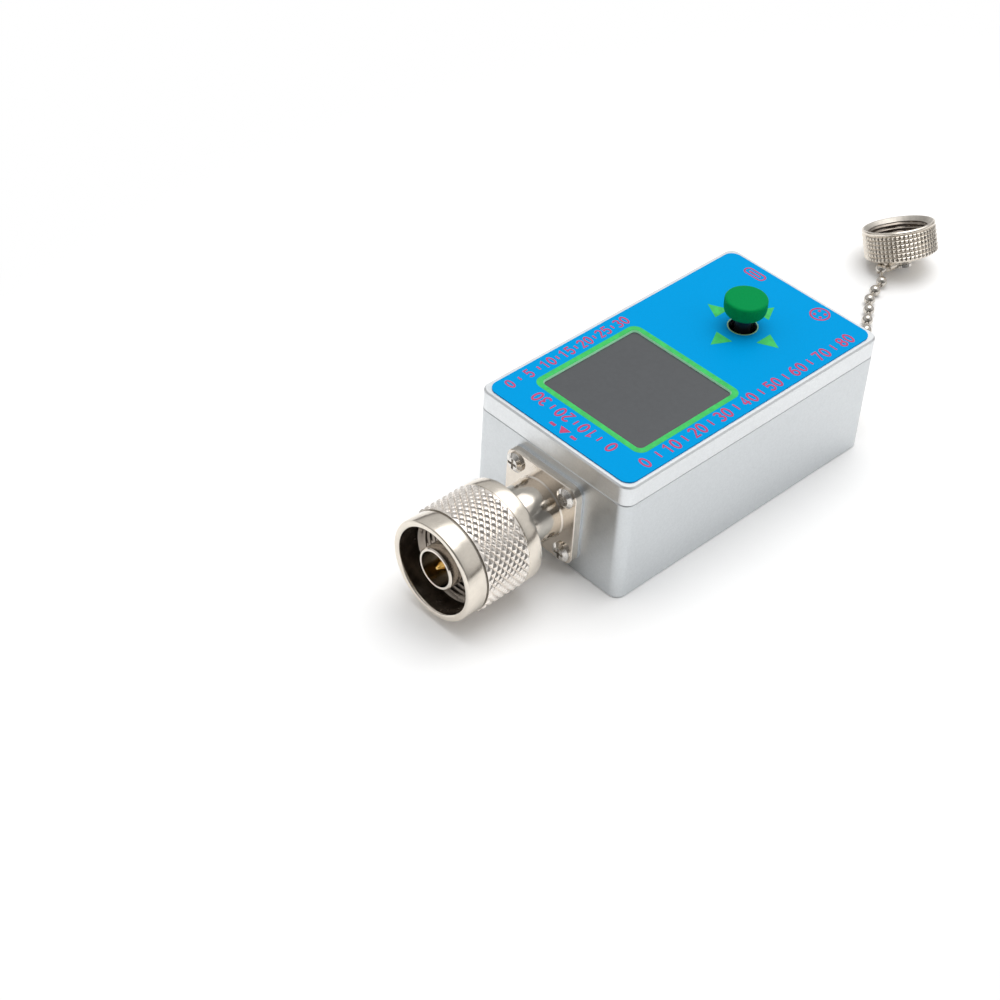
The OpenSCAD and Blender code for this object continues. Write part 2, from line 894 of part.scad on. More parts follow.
module joystick_cap() {
    foot = 0.4;
    steps = 6;
    foot_points = [[0, 0], [knob_r - foot, 0], [knob_r, foot]];
    round_points = [
        for (k = [0:steps])
            [knob_r - knob_round + knob_round * cos(90 * k / steps),
             knob_h - knob_round + knob_round * sin(90 * k / steps)]
    ];
    color("green")
        at_stick(knob_z)
            difference() {
                rotate_extrude()
                    polygon(concat(foot_points, round_points, [[0, knob_h]]));
                translate([0, 0, -overlap])
                    cylinder(h = tenon_l + gap, r = tenon_r + fit);
            }
}

// Input connector

module input_body() {
    color("silver")
        difference() {
            union() {
                on_front(spacer_t)
                    rounded_block(flange_side, flange_side, flange_t, flange_r, 0, 0.15);
                on_front()
                    rotate_extrude()
                        polygon([
                            [0, -barrel_l], [barrel_r, -barrel_l], [barrel_r, flange_u - overlap],
                            [neck_r + 0.25, flange_u - overlap], [neck_r, flange_u + 0.25],
                            [neck_r, clip_u], [neck_r - clip_depth, clip_u],
                            [neck_r - clip_depth, clip_u + clip_t], [neck_r, clip_u + clip_t],
                            [neck_r, seat_u], [ferrule_r, seat_u],
                            [ferrule_r, ferrule_u - 0.2], [ferrule_r - 0.2, ferrule_u], [0, ferrule_u]
                        ]);
            }
            on_front(-barrel_l - overlap)
                cylinder(h = ferrule_u + barrel_l + 1, r = ferrule_bore_r);
            flange_corners(0)
                cylinder(h = flange_u + 1, r = flange_screw_r + gap);
        }
}

module flange_spacer() {
    color("lightgray")
        difference() {
            on_front()
                rounded_block(flange_side, flange_side, spacer_t, flange_r);
            on_front(-overlap)
                cylinder(h = spacer_t + 2 * overlap, r = barrel_r + fit);
            flange_corners(-overlap)
                cylinder(h = spacer_t + 2 * overlap, r = flange_screw_r + gap);
        }
}

module flange_screws() {
    color("silver")
        flange_corners(flange_u)
            cross_screw(flange_screw_r, flange_u + wall - 0.2, flange_head_r, 0.95);
}

module dielectric_sleeve() {
    color("white")
        on_front(-barrel_l)
            washer(ferrule_bore_r - 0.02, pin_r + 0.02, seat_u + barrel_l + 0.5);
}

module centre_pin() {
    tip_r = 0.8;
    shoulder_u = ferrule_u - 6.2;
    tip_u = ferrule_u - 0.4;
    color("gold")
        on_front()
            rotate_extrude()
                polygon([
                    [0, -barrel_l - tail_l], [tail_r, -barrel_l - tail_l], [tail_r, -barrel_l],
                    [pin_r, -barrel_l], [pin_r, shoulder_u], [tip_r + 0.1, shoulder_u + 0.9],
                    [tip_r, tip_u - 1.2], [0.25, tip_u], [0, tip_u]
                ]);
}

module retaining_clip() {
    color("dimgray")
        on_front(clip_u + 0.1)
            washer(thread_r - 0.5, neck_r - clip_depth + fit, clip_t - 0.2);
}

module input_gasket() {
    color("black")
        on_front(seat_u)
            washer(neck_r + 0.5, ferrule_r + fit, 1.1);
}

// Nut that turns freely on the neck, with a diamond knurl round its middle
module coupling_nut() {
    groove = 0.35;
    rim = 0.3;
    knurl_end = knurl_u + knurl_l;
    color("silver") {
        on_front()
            rotate_extrude()
                polygon([
                    [neck_r + fit, nut_u], [nut_rear_r - rim, nut_u], [nut_rear_r, nut_u + rim],
                    [nut_rear_r, knurl_u], [core_r, knurl_u], [core_r, knurl_end + groove],
                    [nut_front_r, knurl_end + groove], [nut_front_r, rim_u - rim],
                    [nut_front_r - rim, rim_u], [mouth_r + rim, rim_u], [mouth_r, rim_u - rim],
                    [mouth_r, rim_u - mouth_l], [thread_r, rim_u - mouth_l - 0.5],
                    [thread_r, nut_u + nut_wall], [neck_r + fit, nut_u + nut_wall]
                ]);
        on_front(knurl_u)
            diamond_band(
                knurl_root_r, knurl_root_r + knurl_depth, core_r - 0.3, knurl_l,
                knurl_around, knurl_along
            );
    }
}

// Rear ports

module data_port_shell() {
    skin = 0.3;
    color("silver")
        translate([rear_x - data_inset - data_depth, data_y, data_z])
            rotate([0, 90, 0])
                difference() {
                    rounded_block(data_h, data_w, data_depth, data_r);
                    translate([0, 0, 1])
                        rounded_block(data_h - 2 * skin, data_w - 2 * skin, data_depth, data_r - skin);
                }
}

module data_port_tongue() {
    tongue_w = 6.7;
    tongue_t = 0.7;
    tongue_l = 5;
    color("black")
        translate([rear_x - data_inset - data_depth + 1, data_y - tongue_w / 2, data_z - tongue_t / 2])
            cube([tongue_l, tongue_w, tongue_t]);
}

module serial_socket() {
    key_w = 1.4;
    key_l = 3;
    key_depth = 0.4;
    color("silver")
        difference() {
            on_rear()
                rotate_extrude()
                    polygon([
                        [serial_bore_r, -serial_tail], [serial_r, -serial_tail],
                        [serial_r, eyelet_t], [serial_flange_r, eyelet_t],
                        [serial_flange_r, serial_flange_v - 0.3], [serial_flange_r - 0.3, serial_flange_v],
                        [serial_r, serial_flange_v], [serial_r, serial_end_v - 0.4],
                        [serial_r - 0.4, serial_end_v], [serial_bore_r, serial_end_v]
                    ]);
            on_rear(serial_end_v - key_l)
                translate([-serial_bore_r - key_depth, -key_w / 2, 0])
                    cube([serial_bore_r, key_w, key_l + overlap]);
        }
}

// Angles of the four contacts round the serial socket's axis
function contact_angle(k) = 45 + 90 * k;

module serial_contacts(v, h, r) {
    for (k = [0:3])
        on_rear(v)
            rotate([0, 0, contact_angle(k)])
                translate([serial_pin_circle, 0, 0])
                    cylinder(h = h, r = r);
}

module serial_insulator() {
    color([0.1, 0.1, 0.1])
        difference() {
            on_rear(-serial_tail)
                cylinder(h = serial_tail + insulator_v, r = serial_bore_r - insulator_play);
            serial_contacts(
                -serial_tail - overlap, serial_tail + insulator_v + 2 * overlap,
                serial_pin_r + insulator_play
            );
        }
}

module serial_pins() {
    color("gold")
        serial_contacts(
            -serial_tail - serial_lead_in, serial_tail + serial_lead_in + serial_end_v - 2, serial_pin_r
        );
}

module serial_washer() {
    color("silver")
        on_rear(-wall - serial_washer_t)
            washer(serial_r + 1, serial_r + fit, serial_washer_t);
}

module serial_nut() {
    color("silver")
        on_rear(-wall - serial_washer_t - serial_nut_t)
            difference() {
                rotate([0, 0, 30])
                    cylinder(h = serial_nut_t, r = serial_r + 2, $fn = 6);
                translate([0, 0, -overlap])
                    cylinder(h = serial_nut_t + 2 * overlap, r = serial_r + fit);
            }
}

// Four leads from the socket's contacts, along the case and down to the lower board
module serial_wires() {
    color("firebrick")
        for (k = [0:3]) {
            y = serial_y + serial_pin_circle * sin(contact_angle(k));
            z = serial_z - serial_pin_circle * cos(contact_angle(k));
            lead(y, z, z > serial_z ? lead_lengths[1] : lead_lengths[0]);
        }
}

// The bend is drawn out a little thinner, and its ends run into the straight stretches
module lead(y, z, length) {
    wire_r = 0.3;
    drawn_r = 0.28;
    bend_r = 0.8;
    run_in = 3;
    start_x = rear_x - serial_tail - serial_lead_in;
    end_x = start_x - length;
    translate([end_x + bend_r, y, z])
        rotate([0, 90, 0])
            cylinder(h = start_x - end_x - bend_r, r = wire_r);
    translate([end_x + bend_r, y, z - bend_r])
        rotate([90, 0, 0])
            rotate([0, 0, 90 - run_in])
                rotate_extrude(angle = 90 + 2 * run_in)
                    translate([bend_r, 0])
                        circle(r = drawn_r);
    translate([end_x, y, signal_top])
        cylinder(h = z - bend_r - signal_top, r = wire_r);
}

// Ring under the socket's flange, with a tab and a crimped cup for the chain
module chain_eyelet() {
    drop = serial_z - cup_z;
    color("silver") {
        on_rear()
            difference() {
                union() {
                    cylinder(h = eyelet_t, r = serial_flange_r);
                    translate([0, -cup_r, 0])
                        cube([drop, 2 * cup_r, eyelet_t]);
                    translate([drop, 0, 0])
                        cylinder(h = eyelet_t, r = cup_r);
                }
                translate([0, 0, -overlap])
                    cylinder(h = eyelet_t + 2 * overlap, r = serial_r + fit);
            }
        translate([rear_x + eyelet_t - overlap, serial_y, cup_z])
            rotate([0, 90, 0])
                cylinder(h = cup_l + overlap, r = cup_r);
    }
}

// Dust cap and chain

// Running length of the route up to each of its points
function route_length(points, k) = k == 0 ? 0 : route_length(points, k - 1) + norm(points[k] - points[k - 1]);

// Point at distance s along the route
function along_route(points, s, k = 1) =
    let (step = norm(points[k] - points[k - 1]))
        s <= step || k == len(points) - 1
            ? points[k - 1] + (points[k] - points[k - 1]) * s / step
            : along_route(points, s - step, k + 1);

// Point that lies a given distance from a on the way to b
function inset(a, b, distance) = a + (b - a) * distance / norm(b - a);

module rod(a, b, r) {
    d = b - a;
    translate(a)
        rotate([0, acos(d.z / norm(d)), atan2(d.y, d.x)])
            cylinder(h = norm(d), r = r);
}

// Balls along the route, and links that run from ball to ball with a little play
module ball_chain() {
    clear = ball_d / 2 + link_play;
    total = route_length(chain_route, len(chain_route) - 1);
    pitch = total / ball_count;
    balls = [for (k = [0:ball_count - 1]) along_route(chain_route, (k + 0.5) * pitch)];
    joints = concat([chain_route[0]], balls, [chain_route[len(chain_route) - 1]]);
    color("silver") {
        for (b = balls)
            translate(b)
                sphere(d = ball_d);
        for (k = [1:len(joints) - 1])
            rod(
                inset(joints[k - 1], joints[k], k == 1 ? 0 : clear),
                inset(joints[k], joints[k - 1], k == len(joints) - 1 ? 0 : clear),
                link_r
            );
    }
}

// Swivelling tag on the rivet, with the cup that takes the chain's other end
module cap_tag() {
    tag_w = 1.8;
    color("silver")
        on_cap()
            rotate([0, 0, tag_angle]) {
                translate([0, 0, tag_z])
                    difference() {
                        union() {
                            cylinder(h = tag_t, r = rivet_head_r);
                            translate([0, -tag_w / 2, 0])
                                cube([tag_reach - 1.4, tag_w, tag_t]);
                        }
                        translate([0, 0, -overlap])
                            cylinder(h = tag_t + 2 * overlap, r = rivet_r + fit);
                    }
                translate([tag_reach - tag_cup_l, 0, tag_cup_z])
                    rotate([0, 90, 0])
                        cylinder(h = tag_cup_l, r = tag_cup_r);
            }
}

module cap_rivet() {
    inner_z = cap_end_t + gap;
    color("dimgray")
        on_cap() {
            translate([0, 0, -rivet_reach])
                cylinder(h = inner_z + rivet_reach + overlap, r = rivet_r);
            translate([0, 0, -rivet_reach])
                cylinder(h = rivet_head_t, r = rivet_head_r);
            translate([0, 0, inner_z])
                cylinder(h = rivet_head_t, r = rivet_head_r);
        }
}

module dust_cap() {
    root_r = cap_r - cap_tooth;
    band_l = cap_h - cap_rim_plain - cap_foot;
    rim_z = cap_foot + band_l;
    color("silver")
        on_cap() {
            rotate_extrude()
                polygon([
                    [rivet_r + fit, 0], [cap_foot_r, 0], [cap_core_r, cap_foot], [cap_core_r, rim_z],
                    [cap_r - 0.1, rim_z], [cap_r - 0.1, cap_h - 0.3], [cap_r - 0.4, cap_h],
                    [cap_bore_r + 0.4, cap_h], [cap_bore_r, cap_h - 0.4],
                    [cap_bore_r, cap_end_t], [rivet_r + fit, cap_end_t]
                ]);
            translate([0, 0, cap_foot])
                square_band(root_r, cap_r, cap_core_r - 0.2, band_l, cap_teeth, cap_rows);
        }
}

module cap_seal() {
    color("black")
        on_cap()
            translate([0, 0, cap_end_t])
                washer(cap_bore_r - fit, rivet_head_r + 0.3, 0.8);
}

bottom_shell();
top_lid();
lid_screws();
front_label();
display_window();
display_glass();
display_holder();
display_ribbon();
ribbon_socket();
display_board();
signal_board();
board_spacers();
board_screws();
header_block();
header_pins();
shield_can();
chips();
switch_housing();
switch_cover();
switch_dome();
switch_ring();
switch_sleeve();
joystick_stem();
joystick_cap();
input_body();
flange_spacer();
flange_screws();
dielectric_sleeve();
centre_pin();
retaining_clip();
input_gasket();
coupling_nut();
data_port_shell();
data_port_tongue();
serial_socket();
serial_insulator();
serial_pins();
serial_washer();
serial_nut();
serial_wires();
chain_eyelet();
ball_chain();
cap_tag();
cap_rivet();
dust_cap();
cap_seal();
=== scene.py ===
import math

import bmesh
import bpy
from mathutils import Matrix, Vector


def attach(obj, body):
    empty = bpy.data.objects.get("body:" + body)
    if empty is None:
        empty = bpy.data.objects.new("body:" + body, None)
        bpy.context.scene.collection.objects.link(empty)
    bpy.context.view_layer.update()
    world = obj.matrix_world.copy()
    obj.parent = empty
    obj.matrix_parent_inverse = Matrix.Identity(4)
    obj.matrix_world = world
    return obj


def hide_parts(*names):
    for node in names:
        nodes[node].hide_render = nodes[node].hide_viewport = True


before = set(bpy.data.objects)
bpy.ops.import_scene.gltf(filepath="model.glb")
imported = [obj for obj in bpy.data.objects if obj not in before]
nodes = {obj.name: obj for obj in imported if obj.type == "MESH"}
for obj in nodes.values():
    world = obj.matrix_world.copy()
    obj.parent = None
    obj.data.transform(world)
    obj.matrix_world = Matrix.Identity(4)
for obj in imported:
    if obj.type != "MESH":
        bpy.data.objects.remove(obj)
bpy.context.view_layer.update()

MM = 0.001
TURN = 2 * math.pi

# Sizes of the case and its fittings, in millimetres, as the solids have them
FRONT_X, REAR_X = -33.7, 33.7
LABEL_Z = 26.2
INPUT_Z = 11.2
SERIAL_Y, SERIAL_Z = -7.0, 13.1
DATA_Y, DATA_Z = 9.5, 12.18
WINDOW_X, WINDOW_L, WINDOW_W = -12.2, 24.3, 24.7
STICK_X, STICK_HOLE_R = 16.1, 2.7
KNOB_Z = 29.2
# Distances of the nut's ends and of its knurl from the front of the case
NUT_U, RIM_U = 10.7, 27.9
KNURL_U, KNURL_END = 13.8, 23.5
# Dust cap, which leans on the edge of its foot a little above the floor
CAP_TILT, CAP_HEADING = math.radians(25.7), math.radians(74.3)
CAP_H, CAP_FOOT_R, CAP_LIFT = 6.8, 6.95, 0.03
CAP_SEAT = Vector((86.1, 13.6, CAP_FOOT_R * math.sin(CAP_TILT) + CAP_LIFT))
BALL_D, BALL_COUNT, LINK_R = 2.4, 14, 0.4

# Sizes that only the look has: the lens, and the film's opening by length, width and corner radius
LENS_LOW, LENS_DROP = 24.5, 0.4
WINDOW_CUT = (WINDOW_L + 0.05, WINDOW_W + 0.05, 1.1)


# Camera, where the photograph was taken from

def add_camera():
    place = Vector((-0.252056, -0.201362, 0.273386))
    right = Vector((0.72533, -0.68696, 0.04453)).normalized()
    ahead = Vector((0.53626, 0.52328, -0.66227)).normalized()
    up = right.cross(ahead).normalized()
    right = ahead.cross(up).normalized()
    data = bpy.data.cameras.new("camera")
    data.sensor_width = 36
    data.lens = 79.885
    data.clip_start = 0.01
    camera = bpy.data.objects.new("camera", data)
    bpy.context.scene.collection.objects.link(camera)
    turn = Matrix((right, up, -ahead)).transposed().to_4x4()
    camera.matrix_world = Matrix.Translation(place) @ turn
    bpy.context.scene.camera = camera


add_camera()


# Node helpers for materials

def new_material(name):
    material = bpy.data.materials.new(name)
    material.use_nodes = True
    tree = material.node_tree
    return material, tree, tree.nodes["Principled BSDF"]


def add_node(tree, kind, **values):
    node = tree.nodes.new(kind)
    for key, value in values.items():
        if key in node.inputs:
            node.inputs[key].default_value = value
        else:
            setattr(node, key, value)
    return node


def coordinates(tree, stretch=(1, 1, 1)):
    """Places on the object in metres, optionally stretched along an axis."""
    source = add_node(tree, "ShaderNodeTexCoord")
    mapping = add_node(tree, "ShaderNodeMapping")
    mapping.inputs["Scale"].default_value = stretch
    tree.links.new(source.outputs["Object"], mapping.inputs["Vector"])
    return mapping.outputs["Vector"]


def noise(tree, vector, scale, detail=4.0, rough=0.6):
    node = add_node(tree, "ShaderNodeTexNoise", Scale=scale, Detail=detail, Roughness=rough)
    tree.links.new(vector, node.inputs["Vector"])
    return node.outputs["Fac"]


def ramp(tree, factor, low, high, start=0.35, stop=0.65):
    node = add_node(tree, "ShaderNodeValToRGB")
    first, last = node.color_ramp.elements
    first.position, first.color = start, (*low, 1)
    last.position, last.color = stop, (*high, 1)
    tree.links.new(factor, node.inputs["Fac"])
    return node.outputs["Color"]


def bump(tree, height, strength, distance):
    node = add_node(tree, "ShaderNodeBump", Strength=strength, Distance=distance)
    tree.links.new(height, node.inputs["Height"])
    return node.outputs["Normal"]


def grey(value):
    return (value, value, value)


def shade(colour, amount):
    return tuple(min(1.0, c * amount) for c in colour)


def surface(name, colour, rough, metallic=0.0, grain=1500, contrast=0.06, rough_spread=0.06,
            bump_scale=4000, bump_depth=0.00001, bump_strength=0.3, stretch=(1, 1, 1), **sockets):
    """Material whose colour, gloss and relief all vary by noise of its own scale.
    Sockets are further values of the shader, with _ for a space in the name."""
    gloss_grain = grain * 0.37
    material, tree, shader = new_material(name)
    at = coordinates(tree, stretch)
    tint = ramp(tree, noise(tree, at, grain), shade(colour, 1 - contrast), shade(colour, 1 + contrast))
    gloss = ramp(tree, noise(tree, at, gloss_grain), grey(rough - rough_spread), grey(rough + rough_spread))
    relief = bump(tree, noise(tree, at, bump_scale), bump_strength, bump_depth)
    tree.links.new(tint, shader.inputs["Base Color"])
    tree.links.new(gloss, shader.inputs["Roughness"])
    tree.links.new(relief, shader.inputs["Normal"])
    shader.inputs["Metallic"].default_value = metallic
    for key, value in sockets.items():
        shader.inputs[key.replace("_", " ")].default_value = value
    return material


# Materials

case_metal = surface("blasted_aluminium", (0.63, 0.655, 0.67), 0.36, 1.0, grain=2600, contrast=0.03,
                     rough_spread=0.05, bump_scale=9000, bump_depth=0.00002, bump_strength=0.35)
lid_metal = surface("brushed_lid", (0.75, 0.77, 0.782), 0.38, 1.0, grain=2600, contrast=0.03,
                    rough_spread=0.05, bump_scale=9000, bump_depth=0.00002, bump_strength=0.3)
nickel = surface("nickel_plate", (0.78, 0.72, 0.635), 0.19, 1.0, grain=900, contrast=0.03,
                 rough_spread=0.05, bump_scale=2500, bump_depth=0.000004, bump_strength=0.2)
knurl_nickel = surface("nickel_plate_knurl", (0.90, 0.845, 0.785), 0.27, 1.0, grain=900, contrast=0.04,
                       rough_spread=0.05, bump_scale=2500, bump_depth=0.000004, bump_strength=0.2)
polished_nickel = surface("nickel_plate_polished", (0.74, 0.68, 0.605), 0.145, 1.0, grain=900, contrast=0.03,
                          rough_spread=0.03, bump_scale=2500, bump_depth=0.000003, bump_strength=0.2)
worn_nickel = surface("nickel_plate_worn", (0.74, 0.68, 0.60), 0.23, 1.0, grain=1400, contrast=0.06,
                      rough_spread=0.07, bump_scale=3000, bump_depth=0.000006, bump_strength=0.25)
# Darker copy of the nickel plate for the ball chain: painted shade, for the darker rims and shaded undersides
# of its balls
chain_plate_with_painted_shade = surface("chain_plate_painted_shade", (0.60, 0.565, 0.515), 0.15, 1.0, grain=1400, contrast=0.06,
                       rough_spread=0.05, bump_scale=3000, bump_depth=0.000004, bump_strength=0.2)
screw_metal = surface("plated_steel", (0.74, 0.715, 0.68), 0.22, 1.0, grain=1800, contrast=0.08,
                      rough_spread=0.08, bump_scale=3500, bump_depth=0.000006, bump_strength=0.25)
# Duller nickel: the satin finish of the cap's inner cone, and painted shade in the nut's groove next to its
# knurl
satin_plate_and_painted_groove_shade = surface("satin_plate_and_painted_shade", (0.55, 0.515, 0.465), 0.46, 1.0, grain=1400, contrast=0.08,
                       rough_spread=0.06, bump_scale=3000, bump_depth=0.000006, bump_strength=0.2)
# Dark copy of the nickel plate: painted shade inside the nut and the cap, where little light reaches
painted_shade_nickel = surface("nickel_in_shade", (0.30, 0.262, 0.225), 0.22, 1.0, grain=1200, contrast=0.08,
                      rough_spread=0.06, bump_scale=3000, bump_depth=0.000005, bump_strength=0.2)
tin_metal = surface("tinned_sheet", (0.72, 0.72, 0.715), 0.3, 1.0, grain=1200, contrast=0.05,
                    rough_spread=0.08, bump_scale=2500, bump_depth=0.000006, stretch=(1, 6, 1))
gilt_metal = surface("gilt_contact", (0.86, 0.56, 0.17), 0.2, 1.0, grain=1600, contrast=0.06,
                     rough_spread=0.06, bump_scale=3000, bump_depth=0.000005)
brass_metal = surface("turned_brass", (0.74, 0.55, 0.25), 0.3, 1.0, grain=1600, contrast=0.08)
label_film = surface("blue_film", (0.0, 0.36, 0.80), 0.5, grain=5200, contrast=0.03, rough_spread=0.05,
                     bump_scale=7000, bump_depth=0.000006, bump_strength=0.25, Specular_IOR_Level=0.02)
green_ink = surface("green_ink", (0.06, 0.60, 0.14), 0.45, grain=900, contrast=0.1,
                    bump_scale=7000, bump_depth=0.000005, Specular_IOR_Level=0.15)
film_edge = surface("film_edge", (0.42, 0.90, 0.58), 0.6, grain=2500, contrast=0.06, Specular_IOR_Level=0.15)
pale_ink = surface("pale_ink", (0.30, 0.62, 0.33), 0.4, grain=5000, contrast=0.08)
red_ink = surface("red_ink", (0.62, 0.07, 0.19), 0.45, grain=1200, contrast=0.1, Specular_IOR_Level=0.1)
lens_plastic = surface("smoked_lens", (0.075, 0.08, 0.086), 0.24, grain=900, contrast=0.03, rough_spread=0.03,
                       bump_scale=5000, bump_depth=0.000002, bump_strength=0.15)
knob_plastic = surface("green_plastic", (0.0, 0.30, 0.075), 0.42, grain=2600, contrast=0.04,
                       rough_spread=0.05, bump_scale=5000, bump_depth=0.000006, bump_strength=0.2,
                       Specular_IOR_Level=0.03)
black_plastic = surface("black_plastic", (0.014, 0.014, 0.015), 0.33, grain=2500, contrast=0.2,
                        bump_scale=5000, bump_depth=0.00001)
white_plastic = surface("white_plastic", (0.80, 0.80, 0.77), 0.45, grain=2500, contrast=0.04)
glass_black = surface("display_glass", (0.012, 0.012, 0.014), 0.12, grain=1500, contrast=0.2)
amber_film = surface("amber_film", (0.50, 0.20, 0.025), 0.35, grain=2500, contrast=0.1)
board_mask = surface("green_mask", (0.012, 0.13, 0.045), 0.35, grain=2500, contrast=0.15)
rubber = surface("black_rubber", (0.018, 0.017, 0.016), 0.7, grain=2500, contrast=0.2,
                 bump_scale=4500, bump_depth=0.00002)
red_insulation = surface("red_insulation", (0.45, 0.02, 0.018), 0.4, grain=2500, contrast=0.1)

NODE_MATERIALS = {
    "bottom_shell": case_metal, "top_lid": lid_metal, "lid_screws": screw_metal, "front_label": label_film,
    "display_window": lens_plastic, "display_glass": glass_black, "display_holder": white_plastic,
    "display_ribbon": amber_film, "ribbon_socket": white_plastic, "display_board": board_mask,
    "signal_board": board_mask, "board_spacers": brass_metal, "board_screws": screw_metal,
    "header_block": black_plastic, "header_pins": gilt_metal, "shield_can": tin_metal, "chips": black_plastic,
    "switch_housing": black_plastic, "switch_cover": tin_metal, "switch_dome": tin_metal,
    "switch_ring": black_plastic, "switch_sleeve": black_plastic, "joystick_stem": black_plastic,
    "joystick_cap": knob_plastic, "input_body": polished_nickel, "flange_spacer": lid_metal,
    "flange_screws": screw_metal, "dielectric_sleeve": white_plastic, "centre_pin": gilt_metal,
    "retaining_clip": screw_metal, "input_gasket": rubber, "coupling_nut": nickel,
    "data_port_shell": tin_metal, "data_port_tongue": black_plastic, "serial_socket": nickel,
    "serial_insulator": black_plastic, "serial_pins": gilt_metal, "serial_washer": screw_metal,
    "serial_nut": nickel, "serial_wires": red_insulation, "chain_eyelet": nickel,
    "ball_chain": chain_plate_with_painted_shade, "cap_tag": worn_nickel, "cap_rivet": screw_metal,
    "dust_cap": worn_nickel, "cap_seal": rubber,
}
for node_name, material in NODE_MATERIALS.items():
    mesh = nodes[node_name].data
    mesh.materials.clear()
    mesh.materials.append(material)


# Mesh helpers

def add_piece(name, vertices, faces, material, body, slot, sharp=34, others=()):
    """Piece from points in millimetres that rides on a body. Its edges are sharp from an angle in degrees.
    Other materials come with the range of faces that each one covers."""
    mesh = bpy.data.meshes.new(name)
    mesh.from_pydata([Vector(v) * MM for v in vertices], [], faces)
    marks = [0] * len(faces)
    for index, (_, covered) in enumerate(others, 1):
        for k in covered:
            marks[k] = index
    mesh.polygons.foreach_set("material_index", marks)
    shell = bmesh.new()
    shell.from_mesh(mesh)
    bmesh.ops.recalc_face_normals(shell, faces=shell.faces)
    shell.to_mesh(mesh)
    shell.free()
    mesh.polygons.foreach_set("use_smooth", [True] * len(mesh.polygons))
    mesh.set_sharp_from_angle(angle=math.radians(sharp))
    for each in (material, *(other for other, _ in others)):
        mesh.materials.append(each)
    piece = bpy.data.objects.new(name, mesh)
    bpy.context.scene.collection.objects.link(piece)
    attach(piece, body)
    return piece


def on_front(r, angle, u):
    """Point about the input's axis, at a distance ahead of the front."""
    return Vector((FRONT_X - u, r * math.sin(angle), INPUT_Z + r * math.cos(angle)))


def on_rear(r, angle, v):
    """Point about the serial socket's axis, at a distance behind the rear."""
    return Vector((REAR_X + v, SERIAL_Y + r * math.sin(angle), SERIAL_Z - r * math.cos(angle)))


def cap_point(x, y, z):
    """Point given in the leaning dust cap's own frame."""
    lean = x * math.cos(CAP_TILT) + z * math.sin(CAP_TILT)
    return CAP_SEAT + Vector((
        lean * math.cos(CAP_HEADING) - y * math.sin(CAP_HEADING),
        lean * math.sin(CAP_HEADING) + y * math.cos(CAP_HEADING),
        z * math.cos(CAP_TILT) - x * math.sin(CAP_TILT),
    ))


def on_cap(r, angle, z):
    return cap_point(r * math.cos(angle), r * math.sin(angle), z)


def band_faces(a, b, count):
    """Faces between two closed loops of as many points, given by the number of each loop's first point."""
    return [(a + i, a + (i + 1) % count, b + (i + 1) % count, b + i) for i in range(count)]


def lathe(rows, columns, place):
    """Closed ring of rows: each row is (height, radius at a column, diagonal of a cell or None).
    Returns points, faces, and the number of faces up to each row."""
    vertices = []
    faces = []
    counts = []
    for height, radius, _ in rows:
        for i in range(columns):
            vertices.append(place(radius(i), TURN * i / columns, height))
    for j, (_, _, diagonal) in enumerate(rows):
        counts.append(len(faces))
        k = (j + 1) % len(rows)
        for i in range(columns):
            n = (i + 1) % columns
            a, b, c, d = j * columns + i, j * columns + n, k * columns + n, k * columns + i
            way = diagonal(i) if diagonal else None
            if way is None:
                faces.append((a, b, c, d))
            elif way:
                faces += [(a, b, c), (a, c, d)]
            else:
                faces += [(a, b, d), (b, c, d)]
    return vertices, faces, counts


def plain_row(height, r):
    return (height, lambda i: r, None)


def thread_rows(start, stop, minor, depth, pitch, columns, steps=8):
    """Rows of a screw thread whose depth is added to its minor radius, flat at its root and crest."""
    count = max(2, round(abs(stop - start) / pitch * steps))
    slope, root_flat = 1.35, 0.15

    def row(height):
        def radius(i):
            phase = (height / pitch - i / columns) % 1.0
            rise = slope * (1 - abs(2 * phase - 1)) - root_flat
            return minor + depth * max(0.0, min(1.0, rise))
        return (height, radius, None)

    return [row(start + (stop - start) * j / count) for j in range(count + 1)]


def diamond_rows(start, stop, root, depth, along, fine):
    """Rows of a diamond knurl with blunt points, with fine steps in each half diamond."""
    rows_in_all = 2 * along * fine
    slope = 1.7

    def row(j):
        def radius(i):
            x, y = i / fine, j / fine
            col, line = math.floor(x), math.floor(y)
            best = 0.0
            for ci in (col, col + 1):
                for cj in (line, line + 1):
                    if (ci + cj) % 2 == 1 and 0 < cj < 2 * along:
                        best = max(best, 1 - abs(x - ci) - abs(y - cj))
            return root + depth * min(1.0, best * slope)

        def diagonal(i):
            return (i // fine + j // fine) % 2 == 0

        return (start + (stop - start) * j / rows_in_all, radius, diagonal if j < rows_in_all else None)

    return [row(j) for j in range(rows_in_all + 1)]


def square_rows(start, stop, root, depth, along, fine):
    """Rows of a square knurl: a blunt pyramid in each square, with fine steps across it."""
    rows_in_all = along * fine
    slope = 1.45

    def row(j):
        def radius(i):
            x, y = (i % fine) / fine - 0.5, (j % fine) / fine - 0.5
            rise = 1 - 2 * max(abs(x), abs(y))
            return root + depth * min(1.0, rise * slope)

        def diagonal(i):
            return ((i % fine) < fine / 2) == ((j % fine) < fine / 2)

        return (start + (stop - start) * j / rows_in_all, radius, diagonal if j < rows_in_all else None)

    return [row(j) for j in range(rows_in_all + 1)]


# Ball chain from the eyelet on the rear to the tag under the dust cap

